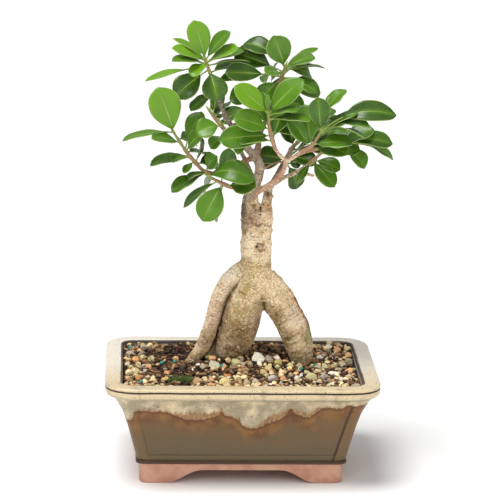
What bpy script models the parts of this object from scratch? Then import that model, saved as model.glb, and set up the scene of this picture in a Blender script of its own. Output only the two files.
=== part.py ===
"""Ginseng ficus bonsai in a rectangular glazed pot.

The plant stands behind the middle of the pot on four thick aerial roots. Its trunk divides
into woody branches, and each branch ends in a leafy shoot. Sizes are in millimetres, measured
from the middle of the pot, with the feet at height 0. +X is to the viewer's right, +Y is away
from the viewer and +Z is up.
"""
import math
import random

import bpy
import bmesh
from mathutils import Matrix, Vector
from mathutils.bvhtree import BVHTree

MM = 0.001
SLIVER = 0.01
GAP = 0.3                    # between pieces that touch
REACH = 1.0                  # of a cutter past the face that it cuts
CROWN_OFFSET = -6.0          # the crown reaches further right than the pot, so the pot stands left

# Pot
RIM_LENGTH = 206.0
RIM_DEPTH = 151.6
RIM_TOP = 80.4
RIM_WIDTH = 12.9
RIM_CORNER = 22.0
BODY_CORNER = 6.5
CORNER_STEPS = 5
CORNER_STRIP = 3.0           # flat strip between a corner and its panel
PANEL_STEP = 0.8             # run of the slanted panel edge
PANEL_DEPTH = 0.8
FLOOR_TOP = 18.5
UNDERSIDE = 12.0
SKIRT_INSET = 25.8
SKIRT_WALL = 9.0
ARCH_HEIGHT = 10.3
FRONT_ARCH = (57.0, 30.0)    # half widths at the ground and at the crown of the arch
SIDE_ARCH = (32.0, 14.0)
DRAIN_PLACES = {"drain_mesh_left": -38.0, "drain_mesh_right": 38.0}
DRAIN_DIAMETER = 13.0
DRAIN_SIDES = 16
ARCH_STEPS = 6

# Height, distance in from the rim's edge, depth of the panels there
INNER_WALL = [
    (FLOOR_TOP, 34.0, 0.0),
    (FLOOR_TOP + 3.0, 31.5, 0.0),
    (50.0, 25.4, 0.0),
    (62.0, 20.6, 0.0),
    (71.5, 13.6, 0.0),
    (RIM_TOP - 0.8, RIM_WIDTH, 0.0),
]
OUTER_WALL = [
    (RIM_TOP, RIM_WIDTH - 0.8, 0.0),
    (RIM_TOP, 0.8, 0.0),
    (RIM_TOP - 0.8, 0.0, 0.0),
    (78.3, 0.0, 0.0),
    (77.8, 0.8, 0.0),
    (77.2, 0.2, 0.0),
    (74.6, 0.0, 0.0),
    (72.4, 1.2, 0.0),
    (71.0, 4.0, 0.0),
    (69.6, 6.2, 0.0),
    (66.4, 8.6, 0.0),
    (61.5, 11.6, 0.0),
    (57.4, 13.8, 0.0),
    (56.6, 14.1, PANEL_DEPTH),
    (46.0, 17.4, PANEL_DEPTH),
    (34.0, 20.4, PANEL_DEPTH),
    (23.4, 22.9, PANEL_DEPTH),
    (22.6, 23.1, 0.0),
    (19.6, 23.8, 0.0),
    (19.0, 25.0, 0.0),
    (18.2, 25.0, 0.0),
    (17.8, 23.8, 0.0),
    (16.6, 23.2, 0.0),
    (15.6, 23.8, 0.0),
    (15.2, SKIRT_INSET, 0.0),
    (0.8, SKIRT_INSET + 0.4, 0.0),
    (0.0, SKIRT_INSET + 1.2, 0.0),
]

# Drain mesh
MESH_SIZE = 24.0
MESH_THICKNESS = 0.9
MESH_CELLS = 2
MESH_RIB = 2.2

# Soil
SOIL_EDGE = 75.0             # height along the pot's wall
MOUND_HEIGHT = 5.0
MOUND_PLACE = (8.0, 16.0)
MOUND_SPREAD = (48.0, 32.0)
SOIL_PITCH = 11.0
SOIL_COLUMNS = range(-9, 10)
SOIL_ROWS = range(-7, 8)
SOIL_UNEVEN = 0.8
ABOVE_RIM = 20.0             # the mould that shapes the soil stands this far over the pot
STONE_COUNT = 40
STONE_SIZE = (6.0, 10.0)
STONE_SPACING = 0.62
STONE_ROOM = 2.5             # between the stones and the pot's wall
STONE_TRIES = 6000
STONE_SEED = 5
# Place and width of the stones and fertiliser beads that show most
LARGE_STONES = [(12.0, 2.0, 12.0), (-6.0, -6.0, 9.0), (-62.0, -30.0, 9.0), (70.0, 8.0, 8.0),
                (34.0, -28.0, 8.0), (-30.0, -44.0, 8.0)]
BEADS = [(-60.0, 6.0), (-50.0, 10.0), (-14.0, -6.0), (-76.0, -42.0), (46.0, -10.0),
         (58.0, 2.0), (73.0, 0.0), (-84.0, 48.0)]
BEAD_SIZE = 3.2

# Wood: x, y, z and radius along each root and branch
ROOTS = {
    "trunk": [(12, 14, 128, 15), (11.5, 14, 146, 12.4), (11.5, 14, 166, 11.6),
              (11.5, 14, 184, 11.9), (12.6, 14, 198, 10.8)],
    "left_root": [(4, 14, 152, 7.5), (-6, 14, 145, 6.6), (-12, 14, 138, 6.2),
                  (-16, 14, 130, 6), (-19, 14, 120, 6), (-23, 14, 104, 5.8),
                  (-28, 15, 90, 5.6), (-34, 15, 81, 5), (-40, 15, 72, 4.2),
                  (-44, 15, 62, 3.2)],
    "middle_root": [(10, 14, 135, 14), (3, 15, 122, 14.6), (0.5, 16, 110, 15),
                    (-2, 18, 99, 14.5), (-6, 20, 88, 12.5), (-8, 22, 78, 9.5),
                    (-9, 23, 68, 6.5), (-9, 24, 60, 4)],
    "right_root": [(16, 14, 142, 12.5), (26, 14, 130, 13), (34, 14, 118, 12.6),
                   (40, 14, 107, 12), (44, 14, 97, 11.6), (47, 14, 87, 10.2),
                   (48, 14, 78, 8.5), (50, 15, 68, 6.5), (52, 15, 60, 4)],
    "back_root": [(8, 20, 132, 10), (0, 32, 112, 8), (-6, 41, 95, 6.6), (-9, 46, 80, 5.4),
                  (-11, 49, 66, 3.6)],
}
BRANCHES = {
    "left_stem": [(7, 14, 192, 8), (6.3, 14, 204, 6.2), (8, 13, 213, 4.6), (12, 13, 223, 3.9),
                  (12.6, 13, 233, 3.8), (8, 13, 240, 3.2), (-1, 12, 250, 2.8),
                  (-9, 12, 262, 2.5), (-15, 11, 273, 2.3), (-20, 11, 285, 2.1)],
    "right_stub": [(18, 14, 194, 5.6), (19, 14, 205, 3.8), (20.5, 14, 216, 3.3),
                   (25, 12, 219, 2.5), (31, 11, 223, 2.2), (38, 10, 226, 2.1),
                   (43, 10, 229, 2.0), (50, 9, 234, 1.9)],
    "front_branch": [(9, 11, 210, 2.6), (14, 9, 214, 2.7), (21, 6, 219, 2.6),
                     (27, 3, 225, 2.5), (31, 1, 233, 2.4), (32, 0, 239, 2.2)],
    "left_arm": [(32, 0, 238, 2.0), (27, -3, 243, 1.9), (23, -5, 249, 1.8)],
    "right_arm": [(32, 0, 238, 2.0), (37, -2, 241, 1.9), (43, -6, 247, 1.8)],
    "far_arm": [(36, -1, 240, 1.9), (42, 2, 243, 1.8), (48, 4, 245, 1.7)],
    "dead_stub": [(33, 0, 239, 1.7), (37, 0, 249, 1.4)],
    "cut_stub": [(42, 10, 228, 1.8), (54, 8, 225, 1.6)],
    "cross_twig": [(13, 12, 228, 1.6), (24, 7, 235, 1.4), (31, 2, 237, 1.4)],
    "low_left_twig": [(5, 12, 210, 2.6), (-3, 8, 214, 2.0), (-10, 4, 217, 1.8)],
    "long_left_twig": [(8, 13, 238, 2.6), (-8, 10, 231, 2.2), (-21, 8, 226, 1.9)],
    "centre_left_twig": [(-2, 12, 250, 2.2), (-8, 5, 253, 1.9), (-12, 0, 257, 1.7)],
    "top_stem": [(10, 14, 236, 2.8), (13, 17, 255, 2.4), (20, 20, 272, 2.1),
                 (25, 20, 287, 1.9)],
    "inner_right_twig": [(20, 15, 213, 2.6), (27, 21, 221, 2.1), (32, 25, 228, 1.8)],
    "back_left_twig": [(9, 14, 218, 2.8), (1, 26, 236, 2.2), (-8, 36, 250, 1.9)],
    "back_right_twig": [(20, 15, 212, 2.8), (29, 28, 226, 2.2), (38, 39, 240, 1.9)],
    "back_centre_twig": [(12, 15, 228, 2.6), (13, 28, 248, 2.1), (14, 37, 266, 1.9)],
}
WOOD_SIDES = 12
WOOD_STEP = 4.0              # between rings along a limb
WOOD_VOXEL = 1.3
WOOD_SMOOTHING = 5
WOOD_TRIANGLES = 2400
SOCKET_CLEARANCE = 0.45      # around the roots, in the soil

# Leaves
LEAF_THICKNESS = 1.3         # at the midrib, the margins are thin
STALK_WIDTH = 1.7
# Place along the blade and width there, as shares of the blade's length and width
BLADE_OUTLINE = [(0.0, 0.1), (0.25, 0.78), (0.6, 1.0), (0.9, 0.64)]
SHOOT_SIDES = 5
SHOOT_STEP = 9.0
SEAT_REACH = 1.0             # how far inside its branch the search for a twig's foot starts
SEAT_STEP = 0.05
ROOT_SCATTER = 0.35          # leaves of one tuft don't leave the twig at one point
STALK_CLEAR = 0.5
KEEP_CLEAR = 0.7             # leaves of two shoots pass each other by at least twice this
WOOD_CLEAR = 1.6             # the crotches of the wood stand out past the limbs' own radii
VIEW = Vector((0.0, -0.9, 0.44))
UP = Vector((0.0, 0.0, 1.0))
ACROSS = Vector((0.0, 1.0, 0.0))
LEAN_TRIES = (0, 4, -4, 8, -8, 12, -12, 16, -16, 20, -20, 25, -25)
GOLDEN_ANGLE = 137.5
HIDDEN_LENGTH = (25.0, 36.0)
HIDDEN_WIDTH = (15.0, 20.0)
HIDDEN_RISE = (-20.0, 35.0)
HIDDEN_SPREAD = 130.0        # degrees either side of the heading, in all
LEAF_SEED = 11


class Leaf:
    """A leaf: where it leaves its shoot, its tip from there, its stalk, width and turn.

    A turn of 0 shows the blade's upper face to the viewer, 90 shows its edge, with the
    upper face to the sky.
    """

    def __init__(self, at, tip, width, turn, stalk=4.0, arch=1.5):
        self.at = at
        self.tip = Vector(tip)
        self.width = width
        self.turn = turn
        self.stalk = stalk
        self.arch = arch
        self.fold = 0.0


# Each shoot: the twig's points with their radii, the heading of its hidden leaves and how many
# there are, and the leaves that show from the front
SHOOTS = {
    "shoot_upper_left": ([(-20, 11, 285, 1.9), (-25, 10, 300, 1.6), (-30, 9, 314, 1.3)], 80, 3, [
        Leaf(0.95, (-10, -4, 30), 19, 0),
        Leaf(0.95, (18, -3, 22), 16, 42),
        Leaf(0.9, (-25, 9, 16), 14, 60),
        Leaf(0.9, (-26, -8, 11), 15, 42),
        Leaf(0.85, (-26, -17, 5), 14, 48),
        Leaf(0.9, (-11, -18, -8), 12, 32),
        Leaf(0.9, (23, -9, 13), 15, 45),
        Leaf(0.8, (32, 6, 2), 14, 68),
        Leaf(0.8, (-46, 0, -12), 14, 55, 17),
        Leaf(0.7, (-25, -10, -19), 20, 5, 8),
        Leaf(0.7, (6, -14, -21), 20, 0),
        Leaf(0.12, (-19, -8, -14), 13, 35),
    ]),
    "shoot_top_centre": ([(25, 20, 287, 1.8), (28, 19, 297, 1.6), (31, 17, 307, 1.3)], 80, 3, [
        Leaf(0.95, (-10, -5, 25), 20, 0),
        Leaf(0.95, (22, -6, 9), 15, 40),
        Leaf(0.85, (31, 8, 2), 13, 66),
        Leaf(0.6, (26, -12, -9), 15, 35, 10),
        Leaf(0.95, (-31, 9, 17), 17, 15, 12, 6),
        Leaf(0.8, (-38, -2, 13), 21, 10, 12),
        Leaf(0.6, (-46, -14, 6), 16, 10, 18),
        Leaf(0.7, (-14, -16, 4), 13, 40),
        Leaf(0.5, (-14, 4, -16), 16, 15),
        Leaf(0.3, (14, 6, -25), 20, 8),
        Leaf(0.1, (-36, 8, -9), 17, 12, 13),
        Leaf(0.8, (-9, 7, -6), 12, 30),
        Leaf(0.6, (9, -4, -14), 12, 20),
    ]),
    "shoot_front_centre": ([(23, -5, 249, 1.8), (19, -8, 262, 1.6), (17, -11, 277, 1.3)], 60, 2, [
        Leaf(0.35, (-39, -10, -2), 19, 5),
        Leaf(0.5, (-28, -12, 11), 18, 15),
        Leaf(0.6, (-14, 9, 14), 14, 35),
        Leaf(0.95, (-26, -8, 22), 17, 5),
        Leaf(0.95, (25, -5, 27), 18, 12),
        Leaf(0.9, (-5, 5, 17), 10, 40, 3),
        Leaf(0.9, (21, -15, 6), 13, 50),
        Leaf(0.75, (23, -2, 13), 13, 60),
        Leaf(0.22, (10, 6, 26), 17, 15),
        Leaf(0.2, (-25, -14, 1), 14, 45),
        Leaf(1.0, (-1, -2, 14), 4, 10, 1),
    ]),
    "shoot_right": ([(43, -6, 247, 1.8), (51, -8, 252, 1.6), (57, -9, 262, 1.3)], 40, 2, [
        Leaf(1.0, (-3, -3, 27), 17, 0),
        Leaf(1.0, (18, 5, 32), 14, 42, 17, 6),
        Leaf(0.98, (56, -3, 14), 18, 8, 19, 11),
        Leaf(0.95, (36, -14, 7), 15, 55, 12, 6),
        Leaf(0.95, (16, 7, 6), 11, 62),
        Leaf(0.9, (32, -22, 2), 13, 74, 6, 5),
        Leaf(0.3, (-16, -6, 23), 16, 15),
        Leaf(0.4, (-5, 8, 30), 19, 15),
    ]),
    "shoot_far_right": ([(48, 4, 245, 1.7), (60, 3, 248, 1.5), (76, 1, 252, 1.2)], 60, 2, [
        Leaf(0.9, (15, -8, 7), 13, 36),
        Leaf(1.0, (36, -4, 0), 16, 22, 5, 4),
        Leaf(1.0, (38, 6, -13), 11, 35, 20, 4),
        Leaf(0.95, (17, -8, -17), 15, 30),
        Leaf(0.15, (24, -24, 2), 17, 12, 6, 4),
    ]),
    "shoot_lower_right": ([(50, 9, 234, 1.8), (55, 8, 239, 1.5), (61, 8, 245, 1.2)], 40, 2, [
        Leaf(0.3, (20, -8, -6), 14, 20),
        Leaf(0.2, (16, -18, -16), 15, 15),
        Leaf(0.3, (-15, -14, -16), 11, 10, 7),
        Leaf(0.8, (20, 10, 0), 14, 50),
    ]),
    "shoot_left": ([(-21, 8, 226, 1.9), (-29, 7, 228, 1.8), (-37, 6, 236, 1.7),
                    (-44, 5, 245, 1.5), (-53, 3, 259, 1.3)], 110, 3, [
        Leaf(1.0, (-13, -4, 35), 25, 0, 3),
        Leaf(1.0, (-38, -3, -6), 16, 60, 4, 2),
        Leaf(0.8, (-22, -14, 6), 15, 38),
        Leaf(0.63, (11, -9, 15), 15, 38),
        Leaf(0.5, (-31, -6, -4), 15, 45),
        Leaf(0.38, (4, 6, 20), 12, 80),
        Leaf(0.12, (-27, -12, -13), 15, 42),
        Leaf(0.42, (-8, -12, -7), 7, 30),
        Leaf(0.68, (12, 12, 27), 16, 24, 7),
        Leaf(0.1, (-16, -10, -2), 11, 55),
        Leaf(0.15, (8, -8, 14), 14, 30),
        Leaf(0.55, (-13, -12, -2), 12, 40),
    ]),
    "shoot_lower_left": ([(-10, 4, 217, 1.7), (-18, 2, 221, 1.5), (-26, -2, 226, 1.2)], 150, 2, [
        Leaf(0.35, (-15, -10, -27), 21, 0),
        Leaf(0.6, (-25, 4, -21), 14, 50),
        Leaf(0.3, (-6, 8, -31), 12, 50),
        Leaf(1.0, (33, -14, 0), 27, 8, 2, 7),
        Leaf(0.1, (25, -8, 3), 19, 12),
    ]),
    "shoot_centre_left": ([(-12, 0, 257, 1.7), (-15, -4, 262, 1.5), (-18, -7, 268, 1.2)], 150, 1, [
        Leaf(0.8, (-20, -6, -4), 17, 12),
        Leaf(0.1, (-13, -4, -9), 12, 25),
        Leaf(0.1, (9, -12, -13), 14, 45),
    ]),
    "shoot_inner_right": ([(32, 25, 228, 1.7), (36, 28, 236, 1.5), (40, 30, 244, 1.2)], 60, 2, [
        Leaf(0.3, (-22, -6, 4), 16, 15),
        Leaf(0.45, (-20, 4, -8), 14, 20),
        Leaf(0.2, (8, -10, -18), 15, 15),
        Leaf(0.5, (20, -10, -4), 15, 20),
        Leaf(0.1, (12, -4, 2), 12, 20),
        Leaf(0.9, (-8, -8, 22), 16, 15),
    ]),
    "shoot_back_left": ([(-8, 36, 250, 1.9), (-17, 42, 258, 1.6), (-25, 46, 268, 1.3)], 110, 7, []),
    "shoot_back_right": ([(38, 39, 240, 1.9), (47, 44, 248, 1.6), (55, 47, 258, 1.3)], 60, 7, []),
    "shoot_back_centre": ([(14, 37, 266, 1.8), (15, 42, 276, 1.6), (17, 45, 288, 1.3)], 90, 7, []),
}


def clear_scene():
    """Remove whatever the file holds."""
    for item in list(bpy.data.objects):
        bpy.data.objects.remove(item, do_unlink=True)


def surface(name, colour, roughness):
    """A plain Principled material."""
    made = bpy.data.materials.new(name)
    made.use_nodes = True
    shader = made.node_tree.nodes["Principled BSDF"]
    shader.inputs["Base Color"].default_value = (*colour, 1.0)
    shader.inputs["Roughness"].default_value = roughness
    shader.inputs["Metallic"].default_value = 0.0
    made.diffuse_color = (*colour, 1.0)
    return made


def add_object(name, points, faces, look=None):
    """An object from points in millimetres, with its faces turned outwards."""
    mesh = bpy.data.meshes.new(name)
    mesh.from_pydata([Vector(point) * MM for point in points], [], faces)
    body = bmesh.new()
    body.from_mesh(mesh)
    bmesh.ops.recalc_face_normals(body, faces=body.faces)
    body.to_mesh(mesh)
    body.free()
    made = bpy.data.objects.new(name, mesh)
    bpy.context.scene.collection.objects.link(made)
    if look:
        mesh.materials.append(look)
    return made


def loft(rings, tip=None):
    """Points and faces of a closed body through rings of equal length.

    Its ends are capped, or its far end runs to a tip.
    """
    count = len(rings[0])
    points = [point for ring in rings for point in ring]
    last = len(points) - count
    faces = [tuple(range(count))]
    if tip is None:
        faces.append(tuple(range(last, len(points))))
    else:
        points.append(tip)
        faces += [(last + step, last + (step + 1) % count, len(points) - 1)
                  for step in range(count)]
    for row in range(len(rings) - 1):
        for step in range(count):
            following = (step + 1) % count
            faces.append((row * count + step, row * count + following,
                          (row + 1) * count + following, (row + 1) * count + step))
    return points, faces


def bake(target):
    """Apply every modifier of an object."""
    bpy.context.view_layer.update()
    shape = target.evaluated_get(bpy.context.evaluated_depsgraph_get())
    baked = bpy.data.meshes.new_from_object(shape)
    target.modifiers.clear()
    target.data = baked


def cut(target, operation, others, solver="EXACT"):
    """Boolean an object with others, which are then removed."""
    group = bpy.data.collections.new("others")
    bpy.context.scene.collection.children.link(group)
    for other in others:
        group.objects.link(other)
    modifier = target.modifiers.new(operation.lower(), "BOOLEAN")
    modifier.operation = operation
    modifier.operand_type = "COLLECTION"
    modifier.collection = group
    modifier.solver = solver
    bake(target)
    for other in others:
        bpy.data.objects.remove(other, do_unlink=True)
    bpy.data.collections.remove(group)


def drop_scraps(target):
    """Triangulate an object and keep its largest body, without the slivers that a union leaves."""
    body = bmesh.new()
    body.from_mesh(target.data)
    bmesh.ops.dissolve_degenerate(body, edges=body.edges, dist=SLIVER * MM)
    bmesh.ops.triangulate(body, faces=body.faces)
    groups = []
    waiting = set(body.faces)
    while waiting:
        front = [waiting.pop()]
        group = set(front)
        while front:
            edges = front.pop().edges
            near = {face for edge in edges for face in edge.link_faces} - group
            front += near
            group |= near
        groups.append(group)
        waiting -= group
    largest = max(groups, key=len)
    bmesh.ops.delete(body, geom=[face for face in body.faces if face not in largest],
                     context="FACES")
    body.to_mesh(target.data)
    body.free()


def smooth_path(points, step, heading=None):
    """Points every `step` or so along a Catmull-Rom curve, each as a 4-vector of place, radius.

    With a heading, the curve sets out that way.
    """
    knots = [Vector(point) for point in points]
    lead = knots[0] * 2 - knots[1]
    if heading:
        lead.xyz = knots[1].xyz - heading * 2 * (knots[1].xyz - knots[0].xyz).length
    knots = [lead] + knots + [knots[-1] * 2 - knots[-2]]
    path = []
    for before, start, end, after in zip(knots, knots[1:], knots[2:], knots[3:]):
        pieces = max(2, round((end - start).length / step))
        for piece in range(pieces):
            t = piece / pieces
            path.append(0.5 * (2 * start + (end - before) * t
                               + (2 * before - 5 * start + 4 * end - after) * t * t
                               + (3 * start - before - 3 * end + after) * t ** 3))
    path.append(knots[-2])
    return path


def ring_around(knot, along, sides, swell=0.0):
    """Points around a knot of a limb, square to its run."""
    side = ACROSS.cross(along).normalized()
    up = along.cross(side).normalized()
    turns = [math.tau * corner / sides for corner in range(sides)]
    return [knot.xyz + (knot.w + swell) * (math.cos(turn) * side + math.sin(turn) * up)
            for turn in turns]


def tube(points, sides, step, swell=0.0, heading=None):
    """Points and faces of a round limb along a smooth path."""
    path = smooth_path(points, step, heading)
    rings = []
    for index, knot in enumerate(path):
        ahead = path[min(index + 1, len(path) - 1)].xyz
        behind = path[max(index - 1, 0)].xyz
        along = heading if heading and index == 0 else ahead - behind
        rings.append(ring_around(knot, along, sides, swell))
    return loft(rings)


def rim_outline(inset, panel=0.0):
    """The pot's plan at a distance in from the rim, its panels set back between the corners."""
    half_x = RIM_LENGTH / 2 - inset
    half_y = RIM_DEPTH / 2 - inset
    radius = max(RIM_CORNER - inset, BODY_CORNER)
    strip = radius + CORNER_STRIP
    plan = []
    for quarter in range(4):
        sign_x = 1 if quarter in (0, 3) else -1
        sign_y = 1 if quarter in (0, 1) else -1
        for step in range(CORNER_STEPS + 1):
            angle = math.radians(90 * (quarter + step / CORNER_STEPS))
            plan.append((sign_x * (half_x - radius) + radius * math.cos(angle),
                         sign_y * (half_y - radius) + radius * math.sin(angle)))
        if quarter % 2 == 0:
            ends = (sign_x * (half_x - strip), sign_x * (half_x - strip - PANEL_STEP))
            back = sign_y * (half_y - panel)
            plan += [(ends[0], sign_y * half_y), (ends[1], back),
                     (-ends[1], back), (-ends[0], sign_y * half_y)]
        else:
            ends = (sign_y * (half_y - strip), sign_y * (half_y - strip - PANEL_STEP))
            back = sign_x * (half_x - panel)
            plan += [(sign_x * half_x, ends[0]), (back, ends[1]),
                     (back, -ends[1]), (sign_x * half_x, -ends[0])]
    return plan


def wall_rings(profile, more_inset=0.0):
    """Rings of points for a list of height, inset and panel depth."""
    return [[(x, y, height) for x, y in rim_outline(inset + more_inset, panel)]
            for height, inset, panel in profile]


def box(name, low, high):
    """A plain box between two corners."""
    corners = [(x, y, z) for z in (low[2], high[2]) for x, y in
               ((low[0], low[1]), (high[0], low[1]), (high[0], high[1]), (low[0], high[1]))]
    return add_object(name, *loft([corners[:4], corners[4:]]))


def arch_cutter(name, half_widths, reach, along_y):
    """The space between two feet: wide at the ground, narrow at the crown, with soft shoulders."""
    wide, narrow = half_widths
    half = []
    for step in range(ARCH_STEPS + 1):
        share = step / ARCH_STEPS
        ease = (1 - math.cos(math.pi * share)) / 2
        half.append((wide + (narrow - wide) * share, ARCH_HEIGHT * ease))
    outline = ([(wide, -REACH)] + half + [(-x, z) for x, z in reversed(half)]
               + [(-wide, -REACH)])
    rings = [[(x, end, z) if along_y else (end, x, z) for x, z in outline]
             for end in (-reach, reach)]
    return add_object(name, *loft(rings))


def make_pot(look):
    """The pot: rim, flared neck, panelled body, base bead and a skirt cut into four feet."""
    made = add_object("pot", *loft(wall_rings(INNER_WALL + OUTER_WALL)), look)
    hollow_x = RIM_LENGTH / 2 - SKIRT_INSET - SKIRT_WALL
    hollow_y = RIM_DEPTH / 2 - SKIRT_INSET - SKIRT_WALL
    cutters = [box("hollow", (-hollow_x, -hollow_y, -REACH), (hollow_x, hollow_y, UNDERSIDE))]
    turns = [math.tau * step / DRAIN_SIDES for step in range(DRAIN_SIDES)]
    radius = DRAIN_DIAMETER / 2
    for place in DRAIN_PLACES.values():
        rings = [[(place + radius * math.cos(turn), radius * math.sin(turn), height)
                  for turn in turns] for height in (UNDERSIDE - REACH, FLOOR_TOP + REACH)]
        cutters.append(add_object("drain", *loft(rings)))
    cut(made, "DIFFERENCE", cutters)
    cut(made, "DIFFERENCE", [arch_cutter("front_arch", FRONT_ARCH, RIM_DEPTH, True)])
    cut(made, "DIFFERENCE", [arch_cutter("side_arch", SIDE_ARCH, RIM_LENGTH, False)])
    return made


def make_drain_mesh(name, place, look):
    """A square of plastic mesh that lies over a drain hole."""
    half = MESH_SIZE / 2
    low = FLOOR_TOP + GAP
    plate = box(name, (place - half, -half, low), (place + half, half, low + MESH_THICKNESS))
    plate.data.materials.append(look)
    cell = (MESH_SIZE - MESH_RIB) / MESH_CELLS
    holes = []
    for row in range(MESH_CELLS):
        for column in range(MESH_CELLS):
            x = place - half + MESH_RIB + column * cell
            y = -half + MESH_RIB + row * cell
            holes.append(box("cell", (x, y, low - REACH),
                             (x + cell - MESH_RIB, y + cell - MESH_RIB,
                              low + MESH_THICKNESS + REACH)))
    cut(plate, "DIFFERENCE", holes)
    return plate


def soil_height(x, y):
    """Height of the soil, which is heaped up around the roots."""
    far = (((x - MOUND_PLACE[0]) / MOUND_SPREAD[0]) ** 2
           + ((y - MOUND_PLACE[1]) / MOUND_SPREAD[1]) ** 2)
    uneven = math.sin(x * 0.21) * math.cos(y * 0.27) + math.sin(x * 0.09 + y * 0.13)
    return SOIL_EDGE + MOUND_HEIGHT * math.exp(-far) + SOIL_UNEVEN * uneven / 2


def stone(name, x, y, width, rng):
    """A rounded stone lying in the soil."""
    body = bmesh.new()
    bmesh.ops.create_icosphere(body, subdivisions=1, radius=1.0)
    flat = rng.uniform(0.6, 0.85)
    turn = Matrix.Rotation(rng.uniform(0, math.tau), 3, "Z")
    tilt = Matrix.Rotation(rng.uniform(-0.5, 0.5), 3, "X")
    lift = soil_height(x, y)
    points = []
    for vertex in body.verts:
        rough = vertex.co * rng.uniform(0.86, 1.1)
        shaped = turn @ tilt @ Vector((rough.x, rough.y * 0.85, rough.z * flat)) * (width / 2)
        points.append(shaped + Vector((x, y, lift)))
    faces = [tuple(corner.index for corner in face.verts) for face in body.faces]
    body.free()
    return add_object(name, points, faces)


def stone_places(rng):
    """Places and widths of all stones and beads, none crossing the pot's wall."""
    places = [(x, y, width) for x, y, width in LARGE_STONES]
    places += [(x, y, BEAD_SIZE) for x, y in BEADS]
    for attempt in range(STONE_TRIES):
        width = rng.uniform(*STONE_SIZE)
        room = RIM_WIDTH + STONE_ROOM + STONE_SPACING * width
        x = rng.uniform(-1, 1) * (RIM_LENGTH / 2 - room)
        y = rng.uniform(-1, 1) * (RIM_DEPTH / 2 - room)
        spaced = all(math.hypot(x - other[0], y - other[1])
                     > STONE_SPACING * (width + other[2]) for other in places)
        if spaced and len(places) < STONE_COUNT:
            places.append((x, y, width))
    return places


def make_soil(look, trunk):
    """The potting grit: it fills the pot, its top is heaped and strewn with stones."""
    plan = [(column * SOIL_PITCH, row * SOIL_PITCH) for row in SOIL_ROWS
            for column in SOIL_COLUMNS]
    points = [(x, y, soil_height(x, y)) for x, y in plan] + [(x, y, 0.0) for x, y in plan]
    width = len(SOIL_COLUMNS)
    depth = len(SOIL_ROWS)
    half = len(plan)
    faces = []
    for row in range(depth - 1):
        for column in range(width - 1):
            first = row * width + column
            faces.append((first, first + 1, first + width + 1, first + width))
    rim = list(range(width))
    rim += [row * width + width - 1 for row in range(1, depth)]
    rim += [(depth - 1) * width + column for column in range(width - 2, -1, -1)]
    rim += [row * width for row in range(depth - 2, 0, -1)]
    for first, second in zip(rim, rim[1:] + rim[:1]):
        faces.append((first, half + first, half + second, second))
    faces.append(tuple(half + corner for corner in rim))
    used = sorted({corner for face in faces for corner in face})
    index = {corner: place for place, corner in enumerate(used)}
    soil = add_object("soil", [points[corner] for corner in used],
                      [tuple(index[corner] for corner in face) for face in faces], look)

    fill = [(height + (GAP if row == 0 else 0.0), inset, panel)
            for row, (height, inset, panel) in enumerate(INNER_WALL)]
    fill[-1] = (RIM_TOP + ABOVE_RIM, RIM_WIDTH, 0.0)
    cavity = add_object("cavity", *loft(wall_rings(fill, GAP)))
    cut(soil, "INTERSECT", [cavity], "MANIFOLD")
    pockets = []
    for place in DRAIN_PLACES.values():
        reach = MESH_SIZE / 2 + GAP
        pockets.append(box("pocket", (place - reach, -reach, FLOOR_TOP - REACH),
                           (place + reach, reach, FLOOR_TOP + MESH_THICKNESS + 2 * GAP)))
    cut(soil, "DIFFERENCE", pockets, "MANIFOLD")
    rng = random.Random(STONE_SEED)
    stones = [stone("stone", x, y, size, rng) for x, y, size in stone_places(rng)]
    cut(soil, "UNION", stones, "MANIFOLD")

    socket = add_object("socket", [], [])
    socket.data = trunk.data.copy()
    swell = socket.modifiers.new("swell", "DISPLACE")
    swell.strength = SOCKET_CLEARANCE * MM
    swell.mid_level = 0.0
    bake(socket)
    cut(soil, "DIFFERENCE", [socket], "MANIFOLD")
    drop_scraps(soil)
    return soil


def make_trunk(look):
    """Roots, trunk and woody branches, blended into one body."""
    points, faces = [], []
    for limb in (ROOTS | BRANCHES).values():
        limb_points, limb_faces = tube(limb, WOOD_SIDES, WOOD_STEP)
        faces += [tuple(corner + len(points) for corner in face) for face in limb_faces]
        points += limb_points
    made = add_object("trunk", points, faces, look)
    blend = made.modifiers.new("blend", "REMESH")
    blend.mode = "VOXEL"
    blend.voxel_size = WOOD_VOXEL * MM
    soften = made.modifiers.new("soften", "SMOOTH")
    soften.factor = 0.5
    soften.iterations = WOOD_SMOOTHING
    bake(made)
    triangles = sum(len(face.vertices) - 2 for face in made.data.polygons)
    thin = made.modifiers.new("thin", "DECIMATE")
    thin.ratio = WOOD_TRIANGLES / triangles
    bake(made)
    return made


def leaf_rings(root, leaf, lean, swell=0.0):
    """Cross-sections of a leaf, from inside its shoot to the blade's tip."""
    chord = leaf.tip + Vector((0.0, lean, 0.0))
    # A leaf that leans further keeps its length
    chord *= leaf.tip.length / chord.length
    along = chord.normalized()
    face = (VIEW - along * VIEW.dot(along)).normalized()
    upward = along.cross(face)
    if upward.z + 0.3 * upward.x * math.copysign(1.0, chord.x) < 0:
        upward = -upward
    turn = math.radians(leaf.turn)
    normal = math.cos(turn) * face + math.sin(turn) * upward
    side = along.cross(normal)
    bow = (normal + UP - along * along.z).normalized() * leaf.arch
    start = leaf.stalk / chord.length
    stations = [(0.0, STALK_WIDTH / leaf.width)]
    stations += [(start + (1 - start) * place, share) for place, share in BLADE_OUTLINE]
    rings = []
    for place, share in stations:
        middle = root + chord * place + bow * 4 * place * (1 - place)
        reach = share * leaf.width / 2 + swell
        raised = leaf.fold * share * leaf.width / 2
        thick = LEAF_THICKNESS / 2 + swell
        rings.append([middle + side * reach + normal * raised, middle + normal * thick,
                      middle - side * reach + normal * raised, middle - normal * thick])
    return rings, root + chord + along * swell


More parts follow.
